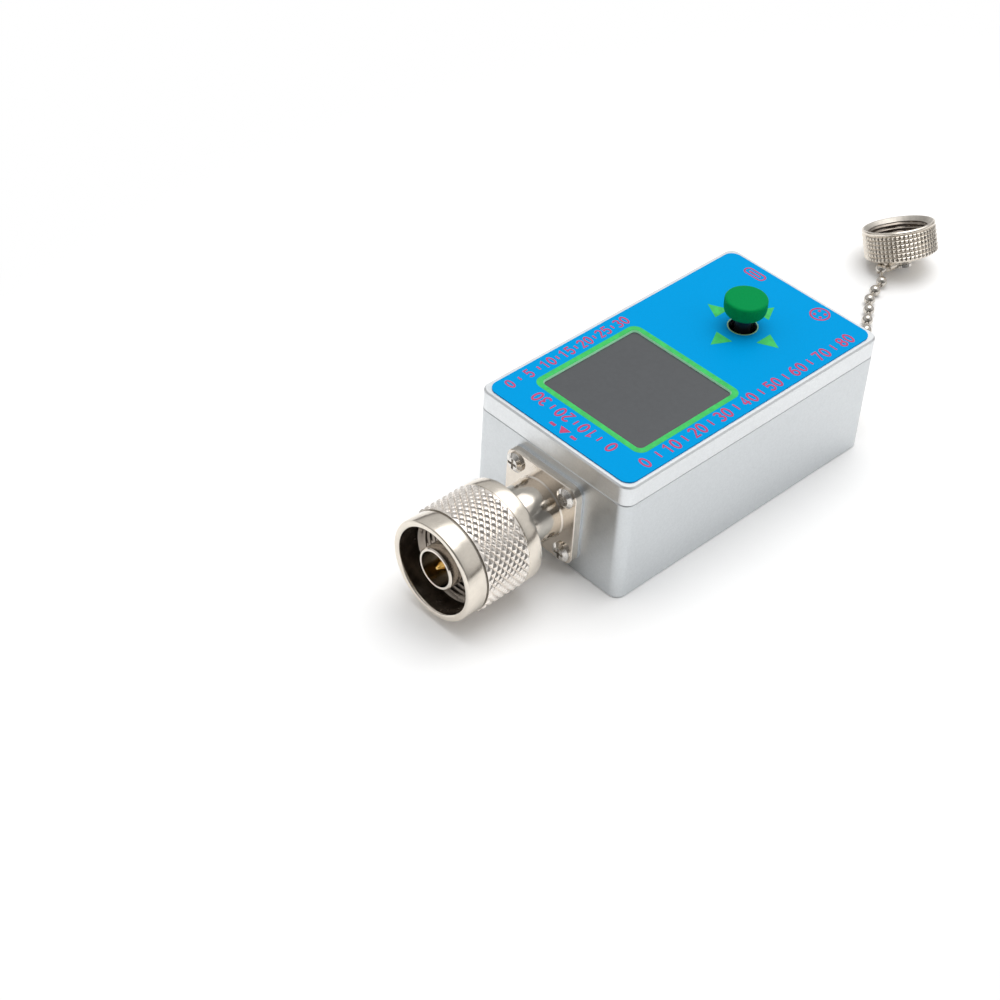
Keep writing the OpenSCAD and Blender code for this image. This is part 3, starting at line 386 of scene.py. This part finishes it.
def chain_points():
    """The chain's route in millimetres: the points of its free run, then straight into the tag's cup.
    A step's third number is the share of the start's height that is left there."""
    start = Vector((REAR_X + 3.6, SERIAL_Y, 4.0))
    lift, gap = 0.05, 0.15
    low = BALL_D / 2 + lift
    steps = [
        (0, 0, 1), (2.3, 0, 1), (4.7, 0.2, 0.67), (7.1, 0.6, 0.31), (9.7, 1.3, 0.09),
        (12.3, 2.2, 0), (14.9, 3.4, 0), (17.7, 5, 0), (20.7, 7, 0), (23.7, 9.4, 0),
        (26.7, 11.6, 0), (30.1, 13.9, 0), (33.1, 16.2, 0), (36.4, 17.5, 0), (39.4, 18.1, 0),
        (40.9, 19.3, 0.16),
    ]
    head_r, head_t, tag_t = 1.9, 0.6, 0.6
    rivet_reach = (CAP_FOOT_R - head_r) * math.tan(CAP_TILT) - lift
    cup_z = head_t - rivet_reach + gap + tag_t / 2
    tag_angle, tag_reach = math.radians(100), 4.6
    ends = [cap_point(f * tag_reach * math.cos(tag_angle), f * tag_reach * math.sin(tag_angle), cup_z)
            for f in (1.5, 1.0)]
    run = [Vector((start.x + x, start.y + y, low + share * (start.z - low))) for x, y, share in steps]
    return run + ends


def route_point(points, distance):
    """Point of a route at a distance from its start."""
    for a, b in zip(points, points[1:]):
        step = (b - a).length
        if distance <= step:
            return a + (b - a) * (distance / step)
        distance -= step
    return points[-1]


def turned(profile, origin, direction, columns):
    """Turned solid about a direction from (distance along, radius) points, with flat ends."""
    direction = direction.normalized()
    side = direction.orthogonal().normalized()
    other = direction.cross(side)
    vertices = []
    faces = []
    for z, r in profile:
        for i in range(columns):
            angle = TURN * i / columns
            vertices.append(origin + direction * z + (side * math.cos(angle) + other * math.sin(angle)) * r)
    last = (len(profile) - 1) * columns
    for start in range(0, last, columns):
        faces += band_faces(start, start + columns, columns)
    faces.append(tuple(range(columns)))
    faces.append(tuple(range(last, last + columns)))
    return vertices, faces


def join_parts(parts):
    """Points and faces of several parts as those of one mesh."""
    vertices = []
    faces = []
    for part_vertices, part_faces in parts:
        start = len(vertices)
        vertices += part_vertices
        faces += [tuple(start + k for k in face) for face in part_faces]
    return vertices, faces


def add_chain():
    """Balls with a lipped hole at each end, and links with a slight waist between them."""
    route = chain_points()
    total = sum((b - a).length for a, b in zip(route, route[1:]))
    pitch = total / BALL_COUNT
    balls = [route_point(route, (k + 0.5) * pitch) for k in range(BALL_COUNT)]
    stops = [route[0], *balls, route[-1]]
    radius = BALL_D / 2
    hole_r, bend = 0.52, 14
    hole = math.asin(hole_r / radius)
    angles = [hole + (math.pi - 2 * hole) * k / bend for k in range(bend + 1)]
    shell = [(-radius * math.cos(angle), radius * math.sin(angle)) for angle in angles]
    lip = radius * math.cos(hole)
    turned_in = ((0.25, 0.44), (0.06, 0.46))
    shell = [*((-lip + depth, r) for depth, r in turned_in), *shell,
             *((lip - depth, r) for depth, r in reversed(turned_in))]
    parts = []
    for k, ball in enumerate(balls):
        parts.append(turned(shell, ball, stops[k + 2] - stops[k], columns=24))
    in_ball = radius * 0.6
    waist_r, waist_half = LINK_R * 0.92, 0.35
    for k, (a, b) in enumerate(zip(stops, stops[1:])):
        way = b - a
        start = 0.0 if k == 0 else in_ball
        stop = way.length - (0.0 if k == len(stops) - 2 else in_ball)
        middle = (start + stop) / 2
        link = [(start, LINK_R), (middle - waist_half, LINK_R), (middle, waist_r),
                (middle + waist_half, LINK_R), (stop, LINK_R)]
        parts.append(turned(link, a, way, columns=12))
    # The chain takes the darker nickel, whose colour is painted shade
    chain = add_piece("chain", *join_parts(parts), chain_plate_with_painted_shade, "meter", "nickel")
    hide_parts("ball_chain")
    path_steps = 120
    path = [tuple(route_point(route, total * k / path_steps) * MM) for k in range(path_steps + 1)]
    return chain, total * MM, path


chain, chain_length, chain_path = add_chain()


# Coupling nut with its knurl outside and its thread inside

def add_nut():
    around, rows_along, fine = 32, 7, 4
    columns = 2 * around * fine
    root, depth = 9.86, 0.3
    minor, thread_depth, thread_pitch = 7.42, 0.52, 1.058
    rows = [plain_row(u, r) for u, r in (
        (NUT_U, 6.0), (NUT_U, 9.55), (NUT_U + 0.07, 9.76), (NUT_U + 0.2, 9.92), (NUT_U + 0.42, 10.0),
        (KNURL_U - 0.22, 10.0), (KNURL_U - 0.08, 9.94), (KNURL_U, 9.82),
    )]
    knurl_row = len(rows)
    rows += diamond_rows(KNURL_U + 0.03, KNURL_END - 0.03, root, depth, rows_along, fine)
    band_row = len(rows)
    rows += [plain_row(u, r) for u, r in (
        (KNURL_END, 9.42), (KNURL_END + 0.1, 9.36), (KNURL_END + 0.27, 9.36), (KNURL_END + 0.33, 9.44),
        (KNURL_END + 0.36, 9.66), (KNURL_END + 0.42, 9.77), (KNURL_END + 0.54, 9.8),
        (RIM_U - 0.4, 9.8), (RIM_U - 0.2, 9.72), (RIM_U - 0.06, 9.56), (RIM_U, 9.38),
        (RIM_U, 8.82), (RIM_U - 0.08, 8.64), (RIM_U - 0.22, 8.5),
    )]
    mouth_row = len(rows)
    rows += [plain_row(u, r) for u, r in (
        (RIM_U - 0.4, 8.45), (RIM_U - 4.4, 8.45), (RIM_U - 4.5, 8.42), (RIM_U - 4.95, 7.86),
    )]
    rows += thread_rows(RIM_U - 5.1, NUT_U + 2.7, minor, thread_depth, thread_pitch, columns)
    rows += [plain_row(u, r) for u, r in ((NUT_U + 2.5, 7.9), (NUT_U + 2.0, 7.9), (NUT_U + 2.0, 6.0))]
    vertices, faces, counts = lathe(rows, columns, on_front)
    knurl = range(counts[knurl_row], counts[band_row - 1])
    # The groove next to the knurl takes the duller nickel as painted shade
    groove = range(counts[band_row - 1], counts[band_row + 4])
    # The nut's mouth, thread and bore are painted dark as shade
    inside = range(counts[mouth_row], len(faces))
    others = [(knurl_nickel, knurl), (satin_plate_and_painted_groove_shade, groove), (painted_shade_nickel, inside)]
    nut = add_piece("knurled_nut", vertices, faces, nickel, "nut", "nickel", sharp=26, others=others)
    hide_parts("coupling_nut")


add_nut()


# Dust cap with its square knurl and its thread

def add_cap():
    teeth, rows_along, fine = 52, 6, 4
    columns = teeth * fine
    root, depth = 7.5, 0.33
    minor, thread_depth, thread_pitch = 6.12, 0.34, 0.9
    rows = [plain_row(z, r) for z, r in (
        (0.0, 1.05), (0.0, 6.6), (0.04, 6.85), (0.15, 7.05), (0.38, 7.2), (0.4, 7.3),
    )]
    rows += square_rows(0.42, 5.96, root, depth, rows_along, fine)
    rows += [plain_row(z, r) for z, r in (
        (5.99, 7.46), (6.06, 7.44), (6.12, 7.6), (6.2, 7.72), (6.34, 7.76), (6.52, 7.75),
        (6.68, 7.66), (6.78, 7.52), (CAP_H, 7.4), (CAP_H, 7.28), (6.77, 7.18), (6.1, 6.52), (6.04, 6.48),
    )]
    thread_row = len(rows)
    rows += thread_rows(5.95, 2.5, minor, thread_depth, thread_pitch, columns)
    rows += [plain_row(z, r) for z, r in ((2.4, 6.3), (1.4, 6.3), (1.4, 1.05))]
    vertices, faces, counts = lathe(rows, columns, on_cap)
    # The cone inside the cap's rim takes the duller satin finish
    cone = range(counts[thread_row - 4], counts[thread_row])
    # The cap's thread and inside are painted dark as shade
    inside = range(counts[thread_row], len(faces))
    others = [(satin_plate_and_painted_groove_shade, cone), (painted_shade_nickel, inside)]
    cap = add_piece("knurled_cap", vertices, faces, worn_nickel, "cap", "nickel", sharp=26, others=others)
    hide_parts("dust_cap")
    return cap


cap = add_cap()


# Serial socket with its outer thread and its key groove, and the contacts of the data port

def add_serial_socket():
    columns = 192
    tail, flange, end = -5.7, 2.4, 7.0
    bore_r, thread_r = 4.8, 6.0
    minor, thread_depth, thread_pitch = 5.6, 0.4, 0.9
    groove_depth, groove_half = 0.4, math.asin(0.7 / bore_r)

    def keyed(i):
        away = abs(TURN * i / columns - math.pi)
        return bore_r + (groove_depth if away < groove_half else 0.0)

    rows = [plain_row(v, r) for v, r in (
        (tail, bore_r), (tail, thread_r), (0.8, thread_r), (0.8, 7.6), (flange - 0.3, 7.6),
        (flange - 0.12, 7.54), (flange - 0.03, 7.42), (flange, 7.25), (flange, 5.62),
    )]
    rows += thread_rows(flange + 0.1, end - 0.6, minor, thread_depth, thread_pitch, columns)
    rows += [plain_row(end - 0.5, 5.62), plain_row(end - 0.38, 5.66), plain_row(end - 0.05, 5.5),
             plain_row(end, 5.4), (end, lambda i: keyed(i) + 0.12, None),
             (end - 0.12, keyed, None), (end - 3.0, keyed, None), plain_row(end - 3.02, bore_r)]
    vertices, faces, _ = lathe(rows, columns, on_rear)
    socket = add_piece("threaded_socket", vertices, faces, nickel, "meter", "nickel", sharp=30)
    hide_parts("serial_socket")


def box(x0, x1, y0, y1, z0, z1):
    """Points and faces of a block between two corners."""
    vertices = [(x, y, z) for x in (x0, x1) for y in (y0, y1) for z in (z0, z1)]
    faces = [(0, 1, 3, 2), (4, 6, 7, 5), (0, 4, 5, 1), (2, 3, 7, 6), (0, 2, 6, 4), (1, 5, 7, 3)]
    return vertices, faces


def add_port_contacts():
    """Strips that stand a little proud of both sides of the port's tongue."""
    count, pitch, width = 8, 0.75, 0.3
    inner_x, outer_x = 28.2, 31.6
    tongue_half, proud, sunk = 0.35, 0.03, 0.01
    low, high = DATA_Z - tongue_half, DATA_Z + tongue_half
    parts = []
    for k in range(count):
        y = DATA_Y + (k - (count - 1) / 2) * pitch
        for z0, z1 in ((low - proud, low + sunk), (high - sunk, high + proud)):
            parts.append(box(inner_x, outer_x, y - width / 2, y + width / 2, z0, z1))
    add_piece("port_contacts", *join_parts(parts), gilt_metal, "meter", "gilt")


add_serial_socket()
add_port_contacts()


# Joystick cap: flat on top, rounded under, with a socket for its stem

def add_knob():
    profile = [
        (2.0, 1.25), (0.0, 1.25), (0.0, 2.95), (0.07, 3.28), (0.26, 3.58), (0.58, 3.84), (1.0, 4.01),
        (1.5, 4.08), (2.2, 4.1), (3.0, 4.1), (3.18, 4.07), (3.34, 3.97), (3.45, 3.81), (3.5, 3.6), (3.5, 3.4),
    ]
    part = turned(profile, Vector((STICK_X, 0, KNOB_Z)), Vector((0, 0, 1)), columns=64)
    knob = add_piece("knob", *part, knob_plastic, "stick", "knob")
    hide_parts("joystick_cap")


add_knob()


# Lens and printed marks on the label

INK_LOW, INK_HIGH = LABEL_Z - 0.01, LABEL_Z + 0.02


def filled(outer, hole=None):
    """Raised patch of ink inside a closed outline, or between it and a hole with as many points."""
    count = len(outer)
    if hole is None:
        vertices = [(x, y, z) for z in (INK_LOW, INK_HIGH) for x, y in outer]
        faces = [tuple(range(count)), tuple(range(count, 2 * count)), *band_faces(0, count, count)]
        return vertices, faces
    rings = [(outer, INK_LOW), (outer, INK_HIGH), (hole, INK_HIGH), (hole, INK_LOW)]
    vertices = [(x, y, z) for ring, z in rings for x, y in ring]
    faces = []
    for k in range(len(rings)):
        faces += band_faces(k * count, (k + 1) % len(rings) * count, count)
    return vertices, faces


def inked(points, half, closed=False, high=INK_HIGH):
    """Raised line of ink along a path, with mitred corners that are held short where it turns sharply."""
    count = len(points)
    least = 0.7
    vertices = []
    for i, (x, y) in enumerate(points):
        before = points[i - 1] if closed or i > 0 else points[i]
        after = points[(i + 1) % count] if closed or i < count - 1 else points[i]
        ends = [Vector((x - before[0], y - before[1])), Vector((after[0] - x, after[1] - y))]
        ways = [end.normalized() for end in ends if end.length > 0]
        way = (ways[0] + ways[-1]).normalized()
        reach = half / max(least, way.dot(ways[0]))
        sides = [(x - way.y * reach, y + way.x * reach), (x + way.y * reach, y - way.x * reach)]
        vertices += [(*sides[0], INK_LOW), (*sides[0], high), (*sides[1], high), (*sides[1], INK_LOW)]
    faces = [] if closed else [(0, 1, 2, 3), tuple(range(4 * count - 4, 4 * count))]
    for i in range(count if closed else count - 1):
        a, b = 4 * i, 4 * ((i + 1) % count)
        faces += [(a + k, a + (k + 1) % 4, b + (k + 1) % 4, b + k) for k in range(4)]
    return vertices, faces


def round_rect(cx, cy, length, width, r, steps=8):
    """Outline of a rectangle with round corners."""
    points = []
    for k, (sx, sy) in enumerate(((1, 1), (-1, 1), (-1, -1), (1, -1))):
        for s in range(steps + 1):
            angle = math.pi / 2 * (k + s / steps)
            points.append((cx + sx * (length / 2 - r) + r * math.cos(angle),
                           cy + sy * (width / 2 - r) + r * math.sin(angle)))
    return points


def ring_points(cx, cy, r, count=48):
    return [(cx + r * math.cos(TURN * k / count), cy + r * math.sin(TURN * k / count)) for k in range(count)]


def add_lens():
    """Smoked sheet with broken edges, a little below the film."""
    top, bevel, corner_r = LABEL_Z - LENS_DROP, 0.12, 0.4
    loops = [(LENS_LOW, 0.0), (top - bevel, 0.0), (top, bevel)]
    vertices = []
    for z, inset in loops:
        outline = round_rect(WINDOW_X, 0, WINDOW_L - 2 * inset, WINDOW_W - 2 * inset, corner_r)
        vertices += [(x, y, z) for x, y in outline]
    count = len(vertices) // len(loops)
    faces = [tuple(range(count)), tuple(range(2 * count, 3 * count))]
    for start in (0, count):
        faces += band_faces(start, start + count, count)
    lens = add_piece("lens", vertices, faces, lens_plastic, "meter", "lens")
    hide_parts("display_window")


def add_film_edge():
    """Cut edge of the film round the window, sloping down to just above the lens."""
    length, width, r = WINDOW_CUT
    run, above_lens = 0.2, 0.07
    foot = LABEL_Z - LENS_DROP + above_lens
    rings = [(0.0, INK_HIGH), (run, foot), (0.0, foot)]
    vertices = []
    for inset, z in rings:
        outline = round_rect(WINDOW_X, 0, length - 2 * inset, width - 2 * inset, r - inset)
        vertices += [(x, y, z) for x, y in outline]
    count = len(vertices) // len(rings)
    faces = []
    for k in range(len(rings)):
        faces += band_faces(k * count, (k + 1) % len(rings) * count, count)
    add_piece("film_edge", vertices, faces, film_edge, "meter", "label")


def add_print():
    """Green frame round the window, four arrows and a pale ring round the joystick."""
    frame_w, frame_r = 1.15, 1.9
    border = (round_rect(WINDOW_X, 0, WINDOW_L + 2 * frame_w, WINDOW_W + 2 * frame_w, frame_r),
              round_rect(WINDOW_X, 0, *WINDOW_CUT))
    arrows = []
    base, tip, half = 5.1, 8.9, 1.95
    for k in range(4):
        c, s = math.cos(k * math.pi / 2), math.sin(k * math.pi / 2)
        corners = [(base, -half), (tip, 0.0), (base, half)]
        arrows.append(filled([(STICK_X + x * c - y * s, x * s + y * c) for x, y in corners]))
    add_piece("print_green", *join_parts([filled(*border), *arrows]), green_ink, "meter", "label")
    ring_r, clear = 2.95, 0.02
    ring = filled(ring_points(STICK_X, 0, ring_r), ring_points(STICK_X, 0, STICK_HOLE_R + clear))
    add_piece("print_pale", *ring, pale_ink, "meter", "label")


def arc(cx, cy, rx, ry, start, stop, steps=14):
    """Points of an ellipse between two angles in degrees."""
    angles = [math.radians(start + (stop - start) * k / steps) for k in range(steps + 1)]
    return [(cx + rx * math.cos(a), cy + ry * math.sin(a)) for a in angles]


# Paths of the digits in a cell one unit wide and two high. A path that ends where it starts is a loop.
DIGITS = {
    "0": [arc(0.5, 1, 0.5, 1, 0, 360, 24)],
    "1": [[(0.12, 1.55), (0.6, 2), (0.6, 0)]],
    "2": [arc(0.5, 1.48, 0.48, 0.52, 165, -35) + [(0.04, 0), (1, 0)]],
    "3": [arc(0.46, 1.52, 0.46, 0.48, 150, -90), arc(0.48, 0.52, 0.52, 0.52, 90, -150)],
    "4": [[(0.74, 0), (0.74, 2), (0, 0.62)], [(0, 0.62), (1.05, 0.62)]],
    "5": [[(0.95, 2), (0.14, 2), (0.08, 1.12)] + arc(0.48, 0.64, 0.52, 0.64, 115, -150)],
    "6": [arc(0.5, 0.62, 0.5, 0.62, 0, 360, 24), arc(0.9, 0.7, 0.9, 1.3, 180, 92)],
    "7": [[(0, 2), (1, 2), (0.36, 0)]],
    "8": [arc(0.5, 1.5, 0.42, 0.48, 0, 360, 24), arc(0.5, 0.52, 0.5, 0.52, 0, 360, 24)],
}


def number_parts(number, x, y, size, along):
    """Lines of a plain number centred on a point of the label, read along a direction.
    The second line of a digit lies a little higher, so that no two faces coincide where they cross."""
    ax, ay = along
    pitch, wide, half = size * 0.8, size * 0.5, size * 0.085
    higher = 0.004
    left = -(pitch * (len(number) - 1) + wide) / 2
    parts = []
    for k, sign in enumerate(number):
        for level, path in enumerate(DIGITS[sign]):
            closed = math.dist(path[0], path[-1]) < 0.001
            points = []
            for u, v in path[:-1] if closed else path:
                px, py = left + k * pitch + u * wide, (v / 2 - 0.5) * size
                points.append((x + px * ax - py * ay, y + px * ay + py * ax))
            parts.append(inked(points, half, closed, INK_HIGH + higher * level))
    return parts


def scale_parts(x, y, along, count, rise, step, size, tick_at, tick_reach):
    """Row of numbers from 0 up, read along a direction, with a tick after each one but the last."""
    ax, ay = along
    tick_half = 0.17
    parts = []
    for k in range(count):
        px, py = x + ax * step * k, y + ay * step * k
        parts += number_parts(str(k * rise), px, py, size, along)
        if k < count - 1:
            tx, ty = px + ax * tick_at, py + ay * tick_at
            ends = [(tx + ay * reach, ty - ax * reach) for reach in (tick_reach, -tick_reach)]
            parts.append(inked(ends, tick_half))
    return parts


def add_scale():
    """Red scales on three sides of the label, an arrow toward the input, and signs beside the ports."""
    long_way, cross_way = (1, 0), (0, 1)
    parts = scale_parts(-26.2, -15.3, long_way, count=9, rise=10, step=6.7, size=2.4,
                        tick_at=3.35, tick_reach=0.9)
    parts += scale_parts(-29.0, 15.5, long_way, count=7, rise=5, step=4.75, size=2.1,
                         tick_at=2.4, tick_reach=0.5)
    parts += scale_parts(-27.7, -8.6, cross_way, count=4, rise=10, step=5.8, size=2.4,
                         tick_at=2.9, tick_reach=0.7)
    tip_x, base_x, mid_x, arrow_half = -31.9, -30.2, -31.0, 1.2
    parts.append(filled([(tip_x, 0.0), (base_x, -arrow_half), (base_x, arrow_half)]))
    bar_half = 0.3
    for y0, y1 in ((-3.2, -1.9), (1.9, 3.2)):
        parts.append(inked([(mid_x, y0), (mid_x, y1)], bar_half))
    data_x, serial_x = 30.2, 30.0
    port_sign = [round_rect(data_x, DATA_Y, *outline) for outline in ((2.1, 5.0, 1.0), (1.4, 4.3, 0.65))]
    parts.append(filled(*port_sign))
    parts.append(filled(round_rect(data_x, DATA_Y, 0.4, 2.8, 0.15)))
    parts.append(filled(ring_points(serial_x, SERIAL_Y, 2.0), ring_points(serial_x, SERIAL_Y, 1.62)))
    aside, dot_r = 0.72, 0.32
    for x, y in ((-1, -1), (-1, 1), (1, -1), (1, 1)):
        parts.append(filled(ring_points(serial_x + aside * x, SERIAL_Y + aside * y, dot_r, count=16)))
    add_piece("print_red", *join_parts(parts), red_ink, "meter", "label")


add_lens()
add_film_edge()
add_print()
add_scale()


# Room: a pale floor, a white surround with soft light, and one lamp

def set_range(node, **limits):
    """Limits of a Map Range node, with _ for a space in the name."""
    for key, value in limits.items():
        node.inputs[key.replace("_", " ")].default_value = value


def lobe(tree, way, direction, outer, inner, low, high):
    """Value that eases from low to high where the way turns toward a direction, between two angles."""
    dot = add_node(tree, "ShaderNodeVectorMath", operation="DOT_PRODUCT")
    tree.links.new(way, dot.inputs[0])
    dot.inputs[1].default_value = Vector(direction).normalized()
    ease = add_node(tree, "ShaderNodeMapRange", interpolation_type="SMOOTHSTEP")
    set_range(ease, From_Min=math.cos(math.radians(outer)), From_Max=math.cos(math.radians(inner)),
              To_Min=low, To_Max=high)
    tree.links.new(dot.outputs["Value"], ease.inputs["Value"])
    return ease.outputs["Result"]


def math_node(tree, operation, *values):
    """Math node whose inputs are numbers or the outputs of other nodes."""
    node = add_node(tree, "ShaderNodeMath", operation=operation)
    for socket, value in zip(node.inputs, values):
        if isinstance(value, (int, float)):
            socket.default_value = value
        else:
            tree.links.new(value, socket)
    return node.outputs[0]


def mix_shaders(tree, factor, first, second):
    node = add_node(tree, "ShaderNodeMixShader")
    tree.links.new(factor, node.inputs["Fac"])
    tree.links.new(first, node.inputs[1])
    tree.links.new(second, node.inputs[2])
    return node.outputs[0]


def add_floor():
    """Floor that camera and glossy rays see a little paler, and as plain white away from the object."""
    half, grain, pale = 6.0, 40, 0.2
    plain_from, plain_at, oval = 0.05, 0.14, (0.66, 1, 1)
    mesh = bpy.data.meshes.new("floor")
    mesh.from_pydata([(-half, -half, 0), (half, -half, 0), (half, half, 0), (-half, half, 0)], [],
                     [(0, 1, 2, 3)])
    floor = bpy.data.objects.new("floor", mesh)
    bpy.context.scene.collection.objects.link(floor)
    material, tree, shader = new_material("pale_floor")
    tint = ramp(tree, noise(tree, coordinates(tree), grain), grey(0.955), grey(0.975))
    shader.inputs["Roughness"].default_value = 0.9
    shader.inputs["Specular IOR Level"].default_value = 0.1
    white = add_node(tree, "ShaderNodeEmission", Strength=1.0)
    path = add_node(tree, "ShaderNodeLightPath")
    seen = math_node(tree, "MAXIMUM", path.outputs["Is Camera Ray"], path.outputs["Is Glossy Ray"])
    lifted = add_node(tree, "ShaderNodeVectorMath", operation="SCALE")
    tree.links.new(tint, lifted.inputs[0])
    tree.links.new(math_node(tree, "MULTIPLY_ADD", seen, pale, 1.0), lifted.inputs["Scale"])
    tree.links.new(lifted.outputs[0], shader.inputs["Base Color"])
    away = add_node(tree, "ShaderNodeVectorMath", operation="LENGTH")
    tree.links.new(coordinates(tree, oval), away.inputs[0])
    clear = add_node(tree, "ShaderNodeMapRange", interpolation_type="SMOOTHSTEP")
    set_range(clear, From_Min=plain_from, From_Max=plain_at, To_Min=0.0, To_Max=1.0)
    tree.links.new(away.outputs["Value"], clear.inputs["Value"])
    share = math_node(tree, "MULTIPLY", seen, clear.outputs["Result"])
    mixed = mix_shaders(tree, share, shader.outputs[0], white.outputs[0])
    tree.links.new(mixed, tree.nodes["Material Output"].inputs["Surface"])
    mesh.materials.append(material)


def add_world():
    """Soft dome that is dim toward the front, with brighter patches above. The camera sees plain white."""
    world = bpy.data.worlds.new("room")
    bpy.context.scene.world = world
    world.use_nodes = True
    tree = world.node_tree
    light = tree.nodes["Background"]
    way = add_node(tree, "ShaderNodeTexCoord").outputs["Generated"]
    split = add_node(tree, "ShaderNodeSeparateXYZ")
    tree.links.new(way, split.inputs[0])
    dome = add_node(tree, "ShaderNodeValToRGB")
    stops = dome.color_ramp.elements
    stops[0].position, stops[0].color = 0.0, (0.13, 0.122, 0.115, 1)
    stops[1].position, stops[1].color = 0.5, (0.66, 0.66, 0.66, 1)
    stops.new(0.1).color = (0.16, 0.152, 0.145, 1)
    stops.new(0.17).color = (0.56, 0.555, 0.55, 1)
    tree.links.new(split.outputs["Z"], dome.inputs["Fac"])
    tree.links.new(dome.outputs["Color"], light.inputs["Color"])
    dim = lobe(tree, way, (-0.78, -0.62, 0.1), outer=75, inner=38, low=1.0, high=0.32)
    tree.links.new(dim, light.inputs["Strength"])
    key = lobe(tree, way, (0.547, 0.116, 0.829), outer=28, inner=10, low=0.0, high=1.2)
    overhead = lobe(tree, way, (0.14, 0.04, 1.0), outer=34, inner=14, low=0.0, high=1.35)
    aside = lobe(tree, way, (0.557, -0.663, 0.5), outer=32, inner=10, low=0.0, high=0.08)
    glow = math_node(tree, "ADD", math_node(tree, "MAXIMUM", key, overhead), aside)
    panels = add_node(tree, "ShaderNodeBackground", Color=(1, 1, 1, 1))
    tree.links.new(glow, panels.inputs["Strength"])
    sky = add_node(tree, "ShaderNodeAddShader")
    tree.links.new(light.outputs[0], sky.inputs[0])
    tree.links.new(panels.outputs[0], sky.inputs[1])
    white = add_node(tree, "ShaderNodeBackground", Color=(1, 1, 1, 1), Strength=1.0)
    path = add_node(tree, "ShaderNodeLightPath")
    mixed = mix_shaders(tree, path.outputs["Is Camera Ray"], sky.outputs[0], white.outputs[0])
    tree.links.new(mixed, tree.nodes["World Output"].inputs["Surface"])


def add_lamp():
    place, target = Vector((0.16, 0.05, 1.1)), Vector((0.01, 0.0, 0.01))
    data = bpy.data.lights.new("top", "AREA")
    data.shape = "SQUARE"
    data.size = 0.9
    data.energy = 2.0
    lamp = bpy.data.objects.new("top", data)
    bpy.context.scene.collection.objects.link(lamp)
    turn = (target - place).to_track_quat("-Z", "Y").to_matrix().to_4x4()
    lamp.matrix_world = Matrix.Translation(place) @ turn


add_floor()
add_world()
add_lamp()
bpy.context.scene.view_settings.view_transform = "Standard"
